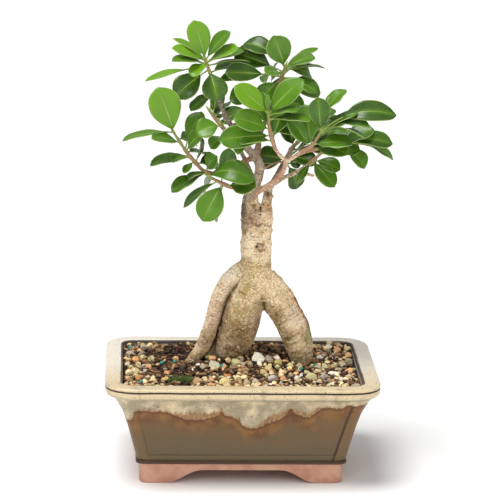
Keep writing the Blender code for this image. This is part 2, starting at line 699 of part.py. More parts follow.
def tree_of(points, faces):
    """A search tree for crossing tests."""
    return BVHTree.FromPolygons([Vector(point) for point in points], faces)


def hidden_leaves(heading, count, rng):
    """Leaves on the far side of a shoot, in the spiral in which they grow."""
    leaves = []
    for number in range(count):
        swing = (number * GOLDEN_ANGLE) % HIDDEN_SPREAD - HIDDEN_SPREAD / 2
        around = math.radians(heading + swing)
        rise = math.radians(rng.uniform(*HIDDEN_RISE))
        length = rng.uniform(*HIDDEN_LENGTH)
        tip = (length * math.cos(around) * math.cos(rise),
               length * math.sin(around) * math.cos(rise), length * math.sin(rise))
        leaves.append(Leaf(0.25 + 0.75 * (number + 0.5) / count, tip,
                           rng.uniform(*HIDDEN_WIDTH), rng.uniform(20, 75), 5.0))
    return leaves


def point_along(stem, share):
    """A point of a stem at a share of its length."""
    path = smooth_path(stem, 2.0)
    place = share * (len(path) - 1)
    low = min(int(place), len(path) - 2)
    return path[low].xyz.lerp(path[low + 1].xyz, place - low)


def plan_leaves():
    """Place every leaf, bent clear of the wood and of the other shoots' leaves."""
    rng = random.Random(LEAF_SEED)
    wood = [tree_of(*tube(limb, WOOD_SIDES, WOOD_STEP, WOOD_CLEAR))
            for limb in (ROOTS | BRANCHES).values()]
    stems = {name: tree_of(*tube(shoot[0], 5, WOOD_STEP, KEEP_CLEAR))
             for name, shoot in SHOOTS.items()}
    placed = {name: [] for name in SHOOTS}
    plan = {name: [] for name in SHOOTS}
    jobs = []
    for name, (stem, heading, count, shown) in SHOOTS.items():
        jobs += [(name, stem, leaf, False) for leaf in shown]
    for name, (stem, heading, count, shown) in SHOOTS.items():
        jobs += [(name, stem, leaf, True) for leaf in hidden_leaves(heading, count, rng)]
    for name, stem, leaf, spare in jobs:
        leaf.fold = rng.uniform(0.12, 0.3)
        root = point_along(stem, leaf.at)
        root += Vector([rng.uniform(-ROOT_SCATTER, ROOT_SCATTER) for axis in range(3)])
        others = wood + [tree for other, tree in stems.items() if other != name]
        others += [tree for other in SHOOTS if other != name for tree in placed[other]]
        for lean in LEAN_TRIES:
            # The crossing test starts part way up the stalk, whose root lies in its own twig
            rings, tip = leaf_rings(root, leaf, lean, KEEP_CLEAR)
            rings[0] = [low.lerp(high, STALK_CLEAR) for low, high in zip(rings[0], rings[1])]
            test = tree_of(*loft(rings, tip))
            if not any(test.overlap(other) for other in others):
                break
        else:
            if spare:
                continue
            lean = 0
        placed[name].append(test)
        plan[name].append((root, leaf, lean))
    return plan


def seat(stem, tree):
    """A stem whose foot faces the end of its branch, a gap away, and the branch's heading."""
    foot = Vector(stem[0])
    branch = next(limb for limb in BRANCHES.values() if limb[-1][:3] == stem[0][:3])
    along = (Vector(branch[-1][:3]) - Vector(branch[-2][:3])).normalized()
    foot.xyz -= along * SEAT_REACH
    clear = 0.0
    while clear < GAP:
        foot.xyz += along * SEAT_STEP
        gaps = []
        for swell in (0.0, -foot.w / 2, -foot.w):
            for point in ring_around(foot, along, 2 * SHOOT_SIDES, swell):
                nearest, normal, face, distance = tree.find_nearest(point)
                inside = (point - nearest).dot(normal) < 0
                gaps.append(-distance if inside else distance)
        clear = min(gaps)
    return [foot] + [Vector(point) for point in stem[1:]], along


def make_shoot(name, stem, leaves, look, tree):
    """A green twig with its leaves, one body."""
    stem, heading = seat(stem, tree)
    made = add_object(name, *tube(stem, SHOOT_SIDES, SHOOT_STEP, heading=heading), look)
    blades = [add_object("blade", *loft(*leaf_rings(root, leaf, lean)))
              for root, leaf, lean in leaves]
    cut(made, "UNION", blades)
    drop_scraps(made)
    return made


def main():
    """Build every piece."""
    clear_scene()
    glaze = surface("glazed_stoneware", (0.62, 0.53, 0.36), 0.35)
    plastic = surface("black_plastic", (0.03, 0.03, 0.03), 0.5)
    grit = surface("potting_grit", (0.16, 0.11, 0.07), 0.9)
    bark = surface("ficus_bark", (0.42, 0.34, 0.22), 0.75)
    green = surface("ficus_leaf", (0.10, 0.26, 0.04), 0.35)

    trunk = make_trunk(bark)
    pieces = [trunk, make_pot(glaze)]
    pieces += [make_drain_mesh(name, place, plastic) for name, place in DRAIN_PLACES.items()]
    pieces.append(make_soil(grit, trunk))
    points = [vertex.co / MM for vertex in trunk.data.vertices]
    faces = [tuple(face.vertices) for face in trunk.data.polygons]
    tree = tree_of(points, faces)
    for name, leaves in plan_leaves().items():
        pieces.append(make_shoot(name, SHOOTS[name][0], leaves, green, tree))

    stand = bpy.data.objects.new("ginseng_ficus", None)
    bpy.context.scene.collection.objects.link(stand)
    stand.location = (CROWN_OFFSET * MM, 0.0, 0.0)
    for piece in pieces:
        piece.parent = stand


main()
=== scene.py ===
"""Looks of a ginseng ficus bonsai in a glazed rectangular pot.

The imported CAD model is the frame: bark, leaves, soil and glazed pot are dressed or remade
around it, at the same places. Sizes are in millimetres, measured from the middle of the pot
with its feet at height 0, until a piece is placed in the frame, which is in metres.
"""
from __future__ import annotations

import logging
import math
import random
from dataclasses import dataclass, field
from enum import Enum
from functools import partial
from typing import Callable, Iterable, Mapping, Sequence

import bpy
from bpy.types import ID, Material, Mesh, Node, NodeSocket, NodeTree, Object
from mathutils import Matrix, Vector, noise
from mathutils.bvhtree import BVHTree
from mathutils.kdtree import KDTree

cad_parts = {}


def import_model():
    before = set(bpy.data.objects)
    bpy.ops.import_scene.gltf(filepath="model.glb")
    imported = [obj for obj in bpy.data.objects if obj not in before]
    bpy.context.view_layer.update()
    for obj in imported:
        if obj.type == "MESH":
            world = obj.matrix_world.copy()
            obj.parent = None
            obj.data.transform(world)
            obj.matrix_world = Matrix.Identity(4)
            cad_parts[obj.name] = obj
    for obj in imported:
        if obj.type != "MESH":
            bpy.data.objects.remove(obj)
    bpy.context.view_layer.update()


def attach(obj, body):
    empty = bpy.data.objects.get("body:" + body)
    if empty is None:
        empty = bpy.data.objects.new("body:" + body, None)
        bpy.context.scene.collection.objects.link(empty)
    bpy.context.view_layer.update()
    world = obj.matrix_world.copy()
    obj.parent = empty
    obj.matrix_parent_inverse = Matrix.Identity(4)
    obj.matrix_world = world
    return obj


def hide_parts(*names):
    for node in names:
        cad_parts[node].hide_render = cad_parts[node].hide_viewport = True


LOG = logging.getLogger("ginseng_ficus")
MM = 0.001
STAND_X = -6.0               # the crown reaches further right than the pot, so the pot stands left

Point = tuple[float, float, float]
Knot = tuple[float, float, float, float]
Rows = tuple[tuple, ...]
# A value, a hex colour or another node's output for each socket, from the first or by name
Feeds = Sequence | Mapping
Adder = Callable[..., NodeSocket]      # add_node for one material

SMOOTH = {"interpolation_type": "SMOOTHSTEP"}    # eases the ends of a MapRange node
COLOURS = {"data_type": "RGBA", "out": 2}        # makes a Mix node mix colours


def placed(point: Sequence[float]) -> Vector:
    """A point given in millimetres from the middle of the pot, in the frame's metres."""
    return Vector(((point[0] + STAND_X) * MM, point[1] * MM, point[2] * MM))


def in_plan(point: Vector) -> Vector:
    """A point of the frame, in millimetres from the middle of the pot."""
    return point / MM - Vector((STAND_X, 0.0, 0.0))


def linear(code: str) -> tuple[float, float, float, float]:
    """Turn an sRGB hex colour into a linear one.

    Args:
        code: The colour as #RRGGBB.

    Returns:
        Red, green, blue and an alpha of 1, for a shader socket.
    """
    parts = [int(code[place:place + 2], 16) / 255 for place in (1, 3, 5)]
    red, green, blue = [part / 12.92 if part <= 0.04045 else ((part + 0.055) / 1.055) ** 2.4
                        for part in parts]
    return red, green, blue, 1.0


def per_size(size_mm: float) -> float:
    """The texture scale on Object coordinates that gives features of a size in millimetres."""
    return 1.0 / (size_mm * MM)


def clamped(value: float) -> float:
    """A value kept between 0 and 1."""
    return min(1.0, max(0.0, value))


def feed(node: Node, feeds: Feeds) -> None:
    """Set a node's sockets to values or colours, or link them to other nodes.

    Args:
        node: The node.
        feeds: What its sockets take.
    """
    for socket, value in feeds.items() if isinstance(feeds, Mapping) else enumerate(feeds):
        if isinstance(value, NodeSocket):
            node.id_data.links.new(value, node.inputs[socket])
        else:
            node.inputs[socket].default_value = linear(value) if isinstance(value, str) else value


def add_node(tree: NodeTree, kind: str, feeds: Feeds = (), operation: str = "",
             out: int | str = 0, stops: Sequence[tuple[float, str]] = (),
             **settings: object) -> NodeSocket:
    """Add a node to a material.

    Args:
        tree: The material's node tree.
        kind: The node's type, without its ShaderNode prefix.
        feeds: What its sockets take.
        operation: What a maths node works out.
        out: The output to go on with.
        stops: Place and hex colour of each stop of a colour ramp.
        settings: Values for the node's other settings.

    Returns:
        That output of the new node.
    """
    node = tree.nodes.new("ShaderNode" + kind)
    for name, value in (settings | ({"operation": operation} if operation else {})).items():
        setattr(node, name, value)
    feed(node, feeds)
    for number, (place, code) in enumerate(stops):
        ramp = node.color_ramp.elements
        stop = ramp[number] if number < 2 else ramp.new(place)
        stop.position = place
        stop.color = linear(code)
    return node.outputs[out]


def new_material(name: str, colour: str, roughness: float, ior: float
                 ) -> tuple[Material, Adder, Node]:
    """Start a Principled material.

    Args:
        name: The real material's name.
        colour: Its main colour, as a hex code.
        roughness: Its main roughness.
        ior: Its index of refraction.

    Returns:
        The material, add_node for its node tree, and its Principled node.
    """
    material = bpy.data.materials.new(name)
    material.use_nodes = True
    material.diffuse_color = linear(colour)
    shader = material.node_tree.nodes["Principled BSDF"]
    feed(shader, {"Base Color": colour, "Roughness": roughness, "IOR": ior})
    return material, partial(add_node, material.node_tree), shader


def skin(node: Adder, shader: Node, colour: NodeSocket,
         relief: Sequence[tuple[NodeSocket, float]], depth_mm: float,
         strength: float) -> None:
    """Give a shader its colour and its relief.

    Args:
        node: Adds a node to the material.
        shader: The Principled node.
        colour: The output that carries the colour.
        relief: Outputs that raise the surface, and how strongly each does.
        depth_mm: The depth of the relief in millimetres.
        strength: The share of it that shows.
    """
    height = relief[0][0]
    if relief[0][1] != 1.0:
        height = node("Math", (height, relief[0][1], 0.0), "MULTIPLY_ADD")
    for part, factor in relief[1:]:
        height = node("Math", (part, factor, height), "MULTIPLY_ADD")
    bump = node("Bump", {"Height": height, "Distance": depth_mm * MM, "Strength": strength})
    feed(shader, {"Base Color": colour, "Normal": bump})


@dataclass(frozen=True)
class GlazeMap:
    """Outputs that say where on the pot a point lies. Lengths are in millimetres."""

    node: Adder                # adds a node to the glaze's material
    place: NodeSocket          # the Object coordinates, in metres
    y: NodeSocket
    height: NodeSocket
    far: tuple[NodeSocket, NodeSocket]    # from the middle, along x and y
    on_side: NodeSocket        # 1 on the pot's short sides, 0 in front and behind
    run: NodeSocket            # along the front, repeated on the other sides
    above: NodeSocket          # over the cream's lower edge
    fringe_width: NodeSocket
    streaks: NodeSocket
    blotches: NodeSocket
    grain: NodeSocket
    pools: NodeSocket
    waver: NodeSocket


@dataclass(frozen=True)
class StonewareGlaze:
    """Reduction-fired stoneware: a cream glaze over the rim runs down over a brown one.

    The cream is opaque and speckled with iron. Where it ends, it breaks into a tan fringe with
    a rust halo, and below it the body is a satin olive brown. The skirt and feet are bare clay.
    """

    cream: str = "#DFCAA3"
    cream_shade: str = "#887D62"
    white: str = "#F4EDE0"
    speck: str = "#54402A"
    groove_shade: str = "#8B8C78"
    fringe: str = "#AB855A"
    fringe_shade: str = "#8A6846"
    rust: str = "#663F1F"
    halo: str = "#694225"
    ochre: str = "#8B6234"
    olive: str = "#735838"
    grey_olive: str = "#685A40"
    line: str = "#2A170D"
    bead: str = "#553F31"
    clay: str = "#D5A58D"
    clay_shade: str = "#C48F79"

    def where(self, node: Adder, pot: "GlazedPot") -> GlazeMap:
        """Work out where on the pot each point of the surface lies.

        Args:
            node: Adds a node to the material.
            pot: The pot, for its sizes and the drips of its cream glaze.

        Returns:
            The outputs that say so.
        """
        place = node("TexCoord", out="Object")
        moved = node("VectorMath", (place, (1 / MM,) * 3, (-STAND_X, 0.0, 0.0)), "MULTIPLY_ADD")
        axes = node("SeparateXYZ", (moved,)).node.outputs
        x, y, height = axes[0], axes[1], axes[2]
        far_x, far_y = [node("Math", (axis,), "ABSOLUTE") for axis in (x, y)]
        side_x, side_y = [node("Math", (axis,), "SIGN") for axis in (x, y)]

        # Run along the front; the sides and the back repeat it so that it meets at the corners
        end_pull = pot.rim_length / (pot.rim_depth - 10.0)
        ahead = node("Math", (y, -end_pull, 0.0), "MULTIPLY_ADD")
        along_side = node("Math", (ahead, side_x), "MULTIPLY")
        along_front = node("Math", (x, side_y), "MULTIPLY")
        along_front = node("Math", (along_front, -1.0), "MULTIPLY")
        lag = (pot.rim_length - pot.rim_depth) / 2
        shifted = node("Math", (far_y, lag), "ADD")
        on_side = node("Math", (far_x, shifted), "GREATER_THAN")
        run = node("Mix", {0: on_side, 2: along_front, 3: along_side})

        # Lower edge of the cream glaze and the width of its thin fringe
        share = node("MapRange", (run, -pot.rim_length / 2, pot.rim_length / 2))
        measures = []
        for points, reach in ((pot.glaze_edge, pot.rim_top), (pot.fringe_width, 10.0)):
            curve = node("FloatCurve", {"Value": share}).node
            line = curve.mapping.curves[0]
            knots = [(spot / pot.rim_length + 0.5, size / reach) for spot, size in points]
            line.points[0].location = knots[0]
            line.points[1].location = knots[-1]
            for knot in knots[1:-1]:
                line.points.new(*knot)
            curve.mapping.update()
            measures.append(node("Math", (curve.outputs[0], reach), "MULTIPLY"))
        edge, fringe_width = measures
        streak_place = node("VectorMath", (place, (1.0, 1.0, 0.14)), "MULTIPLY")
        streaks = node("TexNoise", {"Vector": streak_place, "Scale": per_size(1.9), "Detail": 3.0,
                                    "Roughness": 0.6})
        ragged = node("Math", (streaks, 3.6, -1.8), "MULTIPLY_ADD")
        above = node("Math", (height, edge), "SUBTRACT")
        above = node("Math", (above, ragged), "ADD")

        # Uneven fields that several bands share
        blotches = node("TexNoise", {"Vector": place, "Scale": per_size(26.0), "Detail": 5.0,
                                     "Roughness": 0.6})
        grain = node("TexNoise", {"Vector": place, "Scale": per_size(1.2), "Detail": 3.0,
                                  "Roughness": 0.75})
        pools = node("TexNoise", {"Vector": place, "Scale": per_size(9.0), "Detail": 3.0})
        waver = node("TexNoise", {"Vector": place, "Scale": per_size(18.0)})
        return GlazeMap(node, place, y, height, (far_x, far_y), on_side, run, above,
                        fringe_width, streaks, blotches, grain, pools, waver)

    def body(self, at: GlazeMap, pot: "GlazedPot") -> NodeSocket:
        """Colour the brown glaze below the cream.

        Args:
            at: Where each point lies.
            pot: The pot, for its sizes and its ochre pools.

        Returns:
            The colour.
        """
        node, run, height, above, pools = at.node, at.run, at.height, at.above, at.pools
        # Greyer towards its base
        low = node("MapRange", (height, 48.0, 22.0, -0.2, 0.35))
        low = node("Math", (low, at.blotches), "ADD")
        body = node("ValToRGB", (low,), stops=((0.3, self.olive), (0.8, self.grey_olive)))

        # Rust line and halo below the fringe, with ochre pools in them
        halo_depth = node("Math", (at.blotches, 16.0, 3.0), "MULTIPLY_ADD")
        halo = node("Math", (above, halo_depth), "DIVIDE")
        halo = node("MapRange", (halo, -1.3, -0.3), **SMOOTH)
        halo_colour = node("ValToRGB", (pools,), stops=((0.4, self.halo), (0.66, self.ochre)))
        layers = [(halo, halo_colour)]
        around = node("CombineXYZ", (run, height))
        for middle, pool_height, size, strength in pot.pools:
            away = node("VectorMath", (around, (middle, pool_height, 0.0)), "DISTANCE", out="Value")
            away = node("Math", (pools, 14.0, away), "MULTIPLY_ADD")
            pool = node("MapRange", (away, 7.0, 7.0 + size, strength, 0.0), **SMOOTH)
            layers.append((pool, self.ochre))
        layers.append((node("MapRange", (above, -3.2, -0.6, 0.0, 0.8), **SMOOTH), self.rust))

        # Glaze thins to ochre along the panels' upright edges, with a dark line of pooled glaze
        (low_height, low_inset), (high_height, high_inset) = pot.panel_low, pot.panel_high
        inset = node("MapRange", (height, low_height, high_height, low_inset, high_inset), clamp=False)
        reach = node("Mix", {0: at.on_side, 2: pot.rim_length / 2 - pot.panel_margin,
                             3: pot.rim_depth / 2 - pot.panel_margin})
        seen = node("Mix", {0: at.on_side, 2: at.far[0], 3: at.far[1]})
        beyond = node("Math", (seen, inset), "ADD")
        beyond = node("Math", (beyond, reach), "SUBTRACT")
        wobble = node("Math", (pools, 3.0, beyond), "MULTIPLY_ADD")
        layers.append((node("MapRange", (wobble, 0.5, 4.0, 0.0, 0.25), **SMOOTH), self.ochre))
        pooled_glaze_and_shade = node("Math", (beyond,), "ABSOLUTE")
        pooled_glaze_and_shade = node("MapRange", (pooled_glaze_and_shade, 0.3, 1.5, 1.0, 0.0), **SMOOTH)
        # Painted shade makes that line darker towards the right
        shade_to_right = node("MapRange", (run, -60.0, 60.0, 0.0, 0.7))
        pooled_glaze_and_shade = node("Math", (pooled_glaze_and_shade, shade_to_right), "MULTIPLY")
        for mask, colour in (*layers, (pooled_glaze_and_shade, self.line)):
            body = node("Mix", {0: mask, 6: body, 7: colour}, **COLOURS)
        return body

    def cream_coat(self, at: GlazeMap, pot: "GlazedPot") -> NodeSocket:
        """Colour the cream glaze and its fringe.

        Args:
            at: Where each point lies.
            pot: The pot, for its groove's height.

        Returns:
            The colour.
        """
        node, place = at.node, at.place
        # Clouded with grey, whiter towards the back and speckled with iron
        cloud_place = node("VectorMath", (place, (1.0, 1.0, 0.55)), "MULTIPLY")
        clouds_and_shade = node("TexNoise", {"Vector": cloud_place, "Scale": per_size(10.0), "Detail": 3.0,
                                   "Roughness": 0.55})
        # Below the groove the clouds grow, as painted shade under the rim
        under = node("MapRange", (at.height, pot.neck_groove - 1.0, pot.neck_groove + 1.5, 0.05, -0.2),
                     **SMOOTH)
        clouds_and_shade = node("Math", (clouds_and_shade, under), "ADD")
        clouds_and_shade = node("MapRange", (clouds_and_shade, 0.34, 0.68, 0.0, 0.8), **SMOOTH)
        pale = node("Mix", {0: clouds_and_shade, 6: self.cream, 7: self.cream_shade}, **COLOURS)
        white = node("MapRange", (at.y, -75.0, 15.0, 0.0, 0.85), **SMOOTH)
        specks = node("TexVoronoi", {"Vector": place, "Scale": per_size(1.8)})
        sparse = node("TexNoise", {"Vector": place, "Scale": per_size(3.4)})
        specks = node("Math", (sparse, -0.42, specks), "MULTIPLY_ADD")
        specks = node("MapRange", (specks, -0.1, 0.02, 0.8, 0.0), **SMOOTH)
        for mask, code in ((white, self.white), (specks, self.speck)):
            pale = node("Mix", {0: mask, 6: pale, 7: code}, **COLOURS)

        # The fringe is streaked, and cracks into the cream above it
        thin = node("ValToRGB", (at.streaks,), stops=((0.38, self.fringe_shade), (0.6, self.fringe)))
        inside = node("Math", (at.above, at.fringe_width), "SUBTRACT")
        inside = node("Math", (at.streaks, 5.0, inside), "MULTIPLY_ADD")
        fringe = node("MapRange", (inside, 0.6, 4.4), **SMOOTH)
        pale = node("Mix", {0: fringe, 6: thin, 7: pale}, **COLOURS)
        return pale

    def trimmed(self, at: GlazeMap, pot: "GlazedPot", glazed: NodeSocket
                ) -> tuple[NodeSocket, NodeSocket]:
        """Add dark lines and painted shade, the base bead and the bare clay, wavering as if by hand.

        Args:
            at: Where each point lies.
            pot: The pot, for the heights of its lines.
            glazed: The colour of both glazes.

        Returns:
            The finished colour, and how bare the clay is.
        """
        node = at.node
        level = node("Math", (at.waver, 1.0, at.height), "MULTIPLY_ADD")
        level = node("Math", (level, 0.5), "SUBTRACT")
        # How far a place lies inside the rim's inner edge
        corner = []
        for far, length in ((at.far[0], pot.rim_length), (at.far[1], pot.rim_depth)):
            over_edge = node("Math", (far, length / 2 - pot.rim_corner), "SUBTRACT")
            corner.append(node("Math", (over_edge, 0.0), "MAXIMUM"))
        corner = node("CombineXYZ", corner)
        inward = node("VectorMath", (corner,), "LENGTH", out="Value")
        inward = node("Math", (pot.rim_corner - pot.rim_width, inward), "SUBTRACT")
        outside = node("Math", (inward, -1.0), "LESS_THAN")
        # The neck groove's grey band is painted shade
        for centre, half_width, soft, colour, strength in (
                (pot.neck_groove, 0.6, 1.5, self.groove_shade, 0.5),
                (pot.rim_line, 0.4, 0.6, self.line, 0.95),
                (pot.base_line, 1.5, 0.9, self.line, 0.95)):
            gap = node("Math", (level, centre), "SUBTRACT")
            gap = node("Math", (gap,), "ABSOLUTE")
            mask = node("MapRange", (gap, half_width, half_width + soft, strength, 0.0), **SMOOTH)
            mask = node("Math", (mask, outside), "MULTIPLY")
            glazed = node("Mix", {0: mask, 6: glazed, 7: colour}, **COLOURS)

        # Painted shade darkens the rim's inner edge, where it turns down into the pot
        lip = node("Math", (at.waver, 1.4, inward), "MULTIPLY_ADD")
        painted_shade = node("MapRange", (lip, -0.9, -0.1), **SMOOTH)
        painted_shade_end = node("MapRange", (lip, 4.0, 2.6), **SMOOTH)
        painted_shade = node("Math", (painted_shade, painted_shade_end), "MULTIPLY")
        top, bead, skirt = pot.rim_top, pot.bead_top, pot.skirt_top
        high = node("MapRange", (at.height, top - 3.4, top - 2.2, 0.0, 0.92), **SMOOTH)
        painted_shade = node("Math", (painted_shade, high), "MULTIPLY")
        on_bead = node("MapRange", (level, bead - 0.3, bead + 0.3, 1.0, 0.0), **SMOOTH)
        clay = node("ValToRGB", (at.pools,), stops=((0.35, self.clay_shade), (0.6, self.clay)))
        bare = node("MapRange", (level, skirt - 0.2, skirt + 0.3, 1.0, 0.0), **SMOOTH)
        for mask, colour in ((painted_shade, self.line), (on_bead, self.bead), (bare, clay)):
            glazed = node("Mix", {0: mask, 6: glazed, 7: colour}, **COLOURS)
        return glazed, bare

    def material(self, pot: "GlazedPot") -> Material:
        """Build the glaze, whose bands follow the pot's heights.

        Args:
            pot: The pot, for its sizes and the places of drips and pools.

        Returns:
            The finished material.
        """
        made, node, shader = new_material("glazed_stoneware", self.cream, 0.3, 1.52)
        at = self.where(node, pot)
        over = node("MapRange", (at.above, -0.5, 0.7), **SMOOTH)
        glazed = node("Mix", {0: over, 6: self.body(at, pot), 7: self.cream_coat(at, pot)}, **COLOURS)
        speckle = node("MapRange", (at.grain, 0.3, 0.7, 0.86, 1.12))
        glazed = node("VectorMath", {0: glazed, "Scale": speckle}, "SCALE")
        glazed, bare = self.trimmed(at, pot, glazed)
        rough = node("Mix", {0: over, 2: 0.42, 3: 0.3})
        rough = node("Mix", {0: bare, 2: rough, 3: 0.85})
        feed(shader, {"Specular IOR Level": 0.3, "Roughness": rough})
        # The cream stands about 0.3 mm over the brown, and its surface is faintly pitted
        skin(node, shader, glazed, ((over, 0.3), (at.grain, 0.12), (at.waver, 1.2)), 1.0, 0.6)
        return made


@dataclass(frozen=True)
class FicusBark:
    """Smooth thin ficus bark: tan on the swollen roots, grey to brown on stems and branches.

    Fine cross wrinkles, a granular skin and dark lenticels give it its age.
    """

    light: str = "#FFEACB"
    tan: str = "#F2D8B0"
    shade: str = "#C4A478"
    grey: str = "#C6B6A2"
    brown: str = "#9A6E52"
    pore: str = "#7C4F2C"
    flake: str = "#FFF0C4"
    wrinkle_mm: float = 1.7
    pore_mm: float = 2.1
    flake_mm: float = 1.9

    def material(self) -> Material:
        """Build the bark from Object coordinates and the wood's own attributes.

        Returns:
            The material.
        """
        made, node, shader = new_material("ficus_bark", self.tan, 0.75, 1.4)
        place = node("TexCoord", out="Object")
        along = node("Attribute", attribute_name="along", out="Fac")
        young = node("Attribute", attribute_name="young", out="Fac")
        stain = node("Attribute", attribute_name="stain").node.outputs
        patches = node("TexNoise", {"Vector": place, "Scale": per_size(13.0), "Detail": 6.0,
                                    "Roughness": 0.65})
        colour = node("ValToRGB", (patches,),
                      stops=((0.36, self.shade), (0.66, self.light), (0.5, self.tan)))
        stem = node("ValToRGB", (patches,), stops=((0.4, self.brown), (0.6, self.grey)))
        colour = node("Mix", {0: young, 6: colour, 7: stem}, **COLOURS)
        thick = node("Math", (young, -0.8, 1.0), "MULTIPLY_ADD")
        # Stains and painted shade come from the wood's own colour attribute
        colour = node("Mix", {0: stain["Alpha"], 6: colour, 7: stain["Color"]}, **COLOURS)

        # Wrinkles lie across each limb, so they follow its length
        sideways = node("VectorMath", (place, (per_size(9.0),) * 3), "MULTIPLY")
        parts = node("SeparateXYZ", (sideways,)).node.outputs
        lengthwise = node("Math", (along, self.wrinkle_mm), "DIVIDE")
        lined = node("CombineXYZ", (parts[0], parts[1], lengthwise))
        wrinkles = node("TexNoise", {"Vector": lined, "Scale": 1.0, "Detail": 3.0, "Distortion": 0.3})
        creases = node("MapRange", (wrinkles, 0.33, 0.43, 0.6, 0.0), **SMOOTH)
        colour = node("Mix", {0: creases, 6: colour, 7: self.shade}, **COLOURS, blend_type="MULTIPLY")

        # Lenticels are dark corky spots that come in groups
        pores = node("TexVoronoi", {"Vector": place, "Scale": per_size(self.pore_mm)})
        sparse = node("TexNoise", {"Vector": place, "Scale": per_size(7.0)})
        pores = node("Math", (sparse, -0.55, pores), "MULTIPLY_ADD")
        pores = node("MapRange", (pores, -0.14, 0.0, 0.5, 0.0), **SMOOTH)

        # Thin pale flakes of cork lift between them
        flakes = node("TexVoronoi", {"Vector": place, "Scale": per_size(self.flake_mm)},
                      feature="SMOOTH_F1")
        flakes = node("Math", (sparse, 0.6, flakes), "MULTIPLY_ADD")
        flakes = node("MapRange", (flakes, 0.4, 0.52, 0.75, 0.0), **SMOOTH)
        flakes = node("Math", (flakes, thick), "MULTIPLY")
        for mask, code in ((pores, self.pore), (flakes, self.flake)):
            colour = node("Mix", {0: mask, 6: colour, 7: code}, **COLOURS)

        # The skin is granular in patches
        fine = node("TexNoise", {"Vector": place, "Scale": per_size(1.3)})
        level = node("MapRange", (fine, 0.3, 0.7, -0.5, 0.5))
        granular = node("MapRange", (sparse, 0.3, 0.6, 0.25, 1.0))
        level = node("Math", (level, granular, 1.0), "MULTIPLY_ADD")
        colour = node("VectorMath", {0: colour, "Scale": level}, "SCALE")
        skin(node, shader, colour, ((fine, 1.0), (creases, -0.8), (pores, -0.35)), 0.6, 0.9)
        return made


@dataclass(frozen=True)
class LeafSkin:
    """Living ficus leaf: a waxy deep green skin over a pale midrib, with a thin light margin.

    New leaves are yellow-green, the underside paler and duller; the margin has a painted highlight.
    """

    deep: str = "#26400C"
    green: str = "#507D18"
    fresh: str = "#70A413"
    glow: str = "#6C981C"
    rib: str = "#BCD27E"
    margin: str = "#AFC274"
    under: str = "#66834A"
    vein_mm: float = 3.4

    def upper(self) -> Material:
        """Build the upper side, which reads the blade's UV map and its tone.

        Returns:
            The material.
        """
        made, node, shader = new_material("ficus_leaf_upper", self.green, 0.3, 1.4)
        place = node("TexCoord").node.outputs
        tone = node("Attribute", attribute_name="tone", out="Fac")
        size = node("Attribute", attribute_name="blade_mm", out="Fac")
        run = node("SeparateXYZ", (place["UV"],)).node.outputs
        middle = node("Math", (run[1], 0.5), "SUBTRACT")
        away = node("Math", (middle,), "ABSOLUTE")
        cloud = node("TexNoise", {"Vector": place["Object"], "Scale": per_size(9.0), "Detail": 3.0})
        shade = node("Math", (cloud, 0.3, tone), "MULTIPLY_ADD")
        colour = node("ValToRGB", (shade,),
                      stops=((0.12, self.deep), (1.0, self.fresh), (0.52, self.green)))

        # The blade is yellower along its midrib
        heart = node("MapRange", (away, 0.0, 0.22, 0.4, 0.0), **SMOOTH)

        # Side veins leave the midrib at an angle and fade before the margin
        slant = node("Math", (away, -0.45, run[0]), "MULTIPLY_ADD")
        slant = node("Math", (slant, size), "MULTIPLY")
        slant = node("Math", (slant, self.vein_mm), "DIVIDE")
        saw = node("Math", (slant, 0.5), "PINGPONG")
        veins = node("MapRange", (saw, 0.0, 0.14, 0.14, 0.0), **SMOOTH)
        rib_width = node("MapRange", (run[0], 0.0, 1.0, 0.03, 0.008))
        rib = node("Math", (away, rib_width), "DIVIDE")
        rib = node("MapRange", (rib, 0.4, 1.2, 1.0, 0.0), **SMOOTH)
        fading = node("MapRange", (run[0], 0.2, 0.9, 0.75, 0.15))
        rib_shown = node("Math", (rib, fading), "MULTIPLY")
        # The pale margin vein carries a painted highlight along the blade's edge
        margin_and_highlight = node("MapRange", (away, 0.455, 0.49, 0.0, 0.75), **SMOOTH)
        for mask, code in ((heart, self.glow), (veins, self.fresh), (rib_shown, self.rib),
                           (margin_and_highlight, self.margin)):
            colour = node("Mix", {0: mask, 6: colour, 7: code}, **COLOURS)
        skin(node, shader, colour, ((veins, -0.5), (rib, -0.8), (cloud, 0.5)), 0.25, 0.5)
        feed(shader, {"Specular IOR Level": 0.6})
        return made

    def lower(self) -> Material:
        """Build the paler, duller underside.

        Returns:
            The material.
        """
        made, node, shader = new_material("ficus_leaf_underside", self.under, 0.5, 1.45)
        tone = node("Attribute", attribute_name="tone", out="Fac")
        colour = node("ValToRGB", (tone,),
                      stops=((0.1, self.green), (0.9, self.margin), (0.5, self.under)))
        feed(shader, {"Base Color": colour})
        return made


@dataclass(frozen=True)
class GreenTwig:
    """Soft leaf stalks and new twigs: pale green, browning with age."""

    stalk: str = "#9DB35A"
    new: str = "#98984F"
    old: str = "#B98F6E"

    def material(self) -> Material:
        """Build the twig's skin, which browns where the wood is older.

        Returns:
            The material.
        """
        made, node, shader = new_material("ficus_twig", self.stalk, 0.5, 1.45)
        place = node("TexCoord", out="Object")
        age = node("Attribute", attribute_name="age", out="Fac")
        mottle = node("TexNoise", {"Vector": place, "Scale": per_size(2.0), "Detail": 4.0})
        shift = node("Math", (mottle, 0.5, age), "MULTIPLY_ADD")
        colour = node("ValToRGB", (shift,), stops=((0.2, self.stalk), (1.0, self.old), (0.6, self.new)))
        skin(node, shader, colour, ((mottle, 1.0),), 0.3, 0.6)
        return made


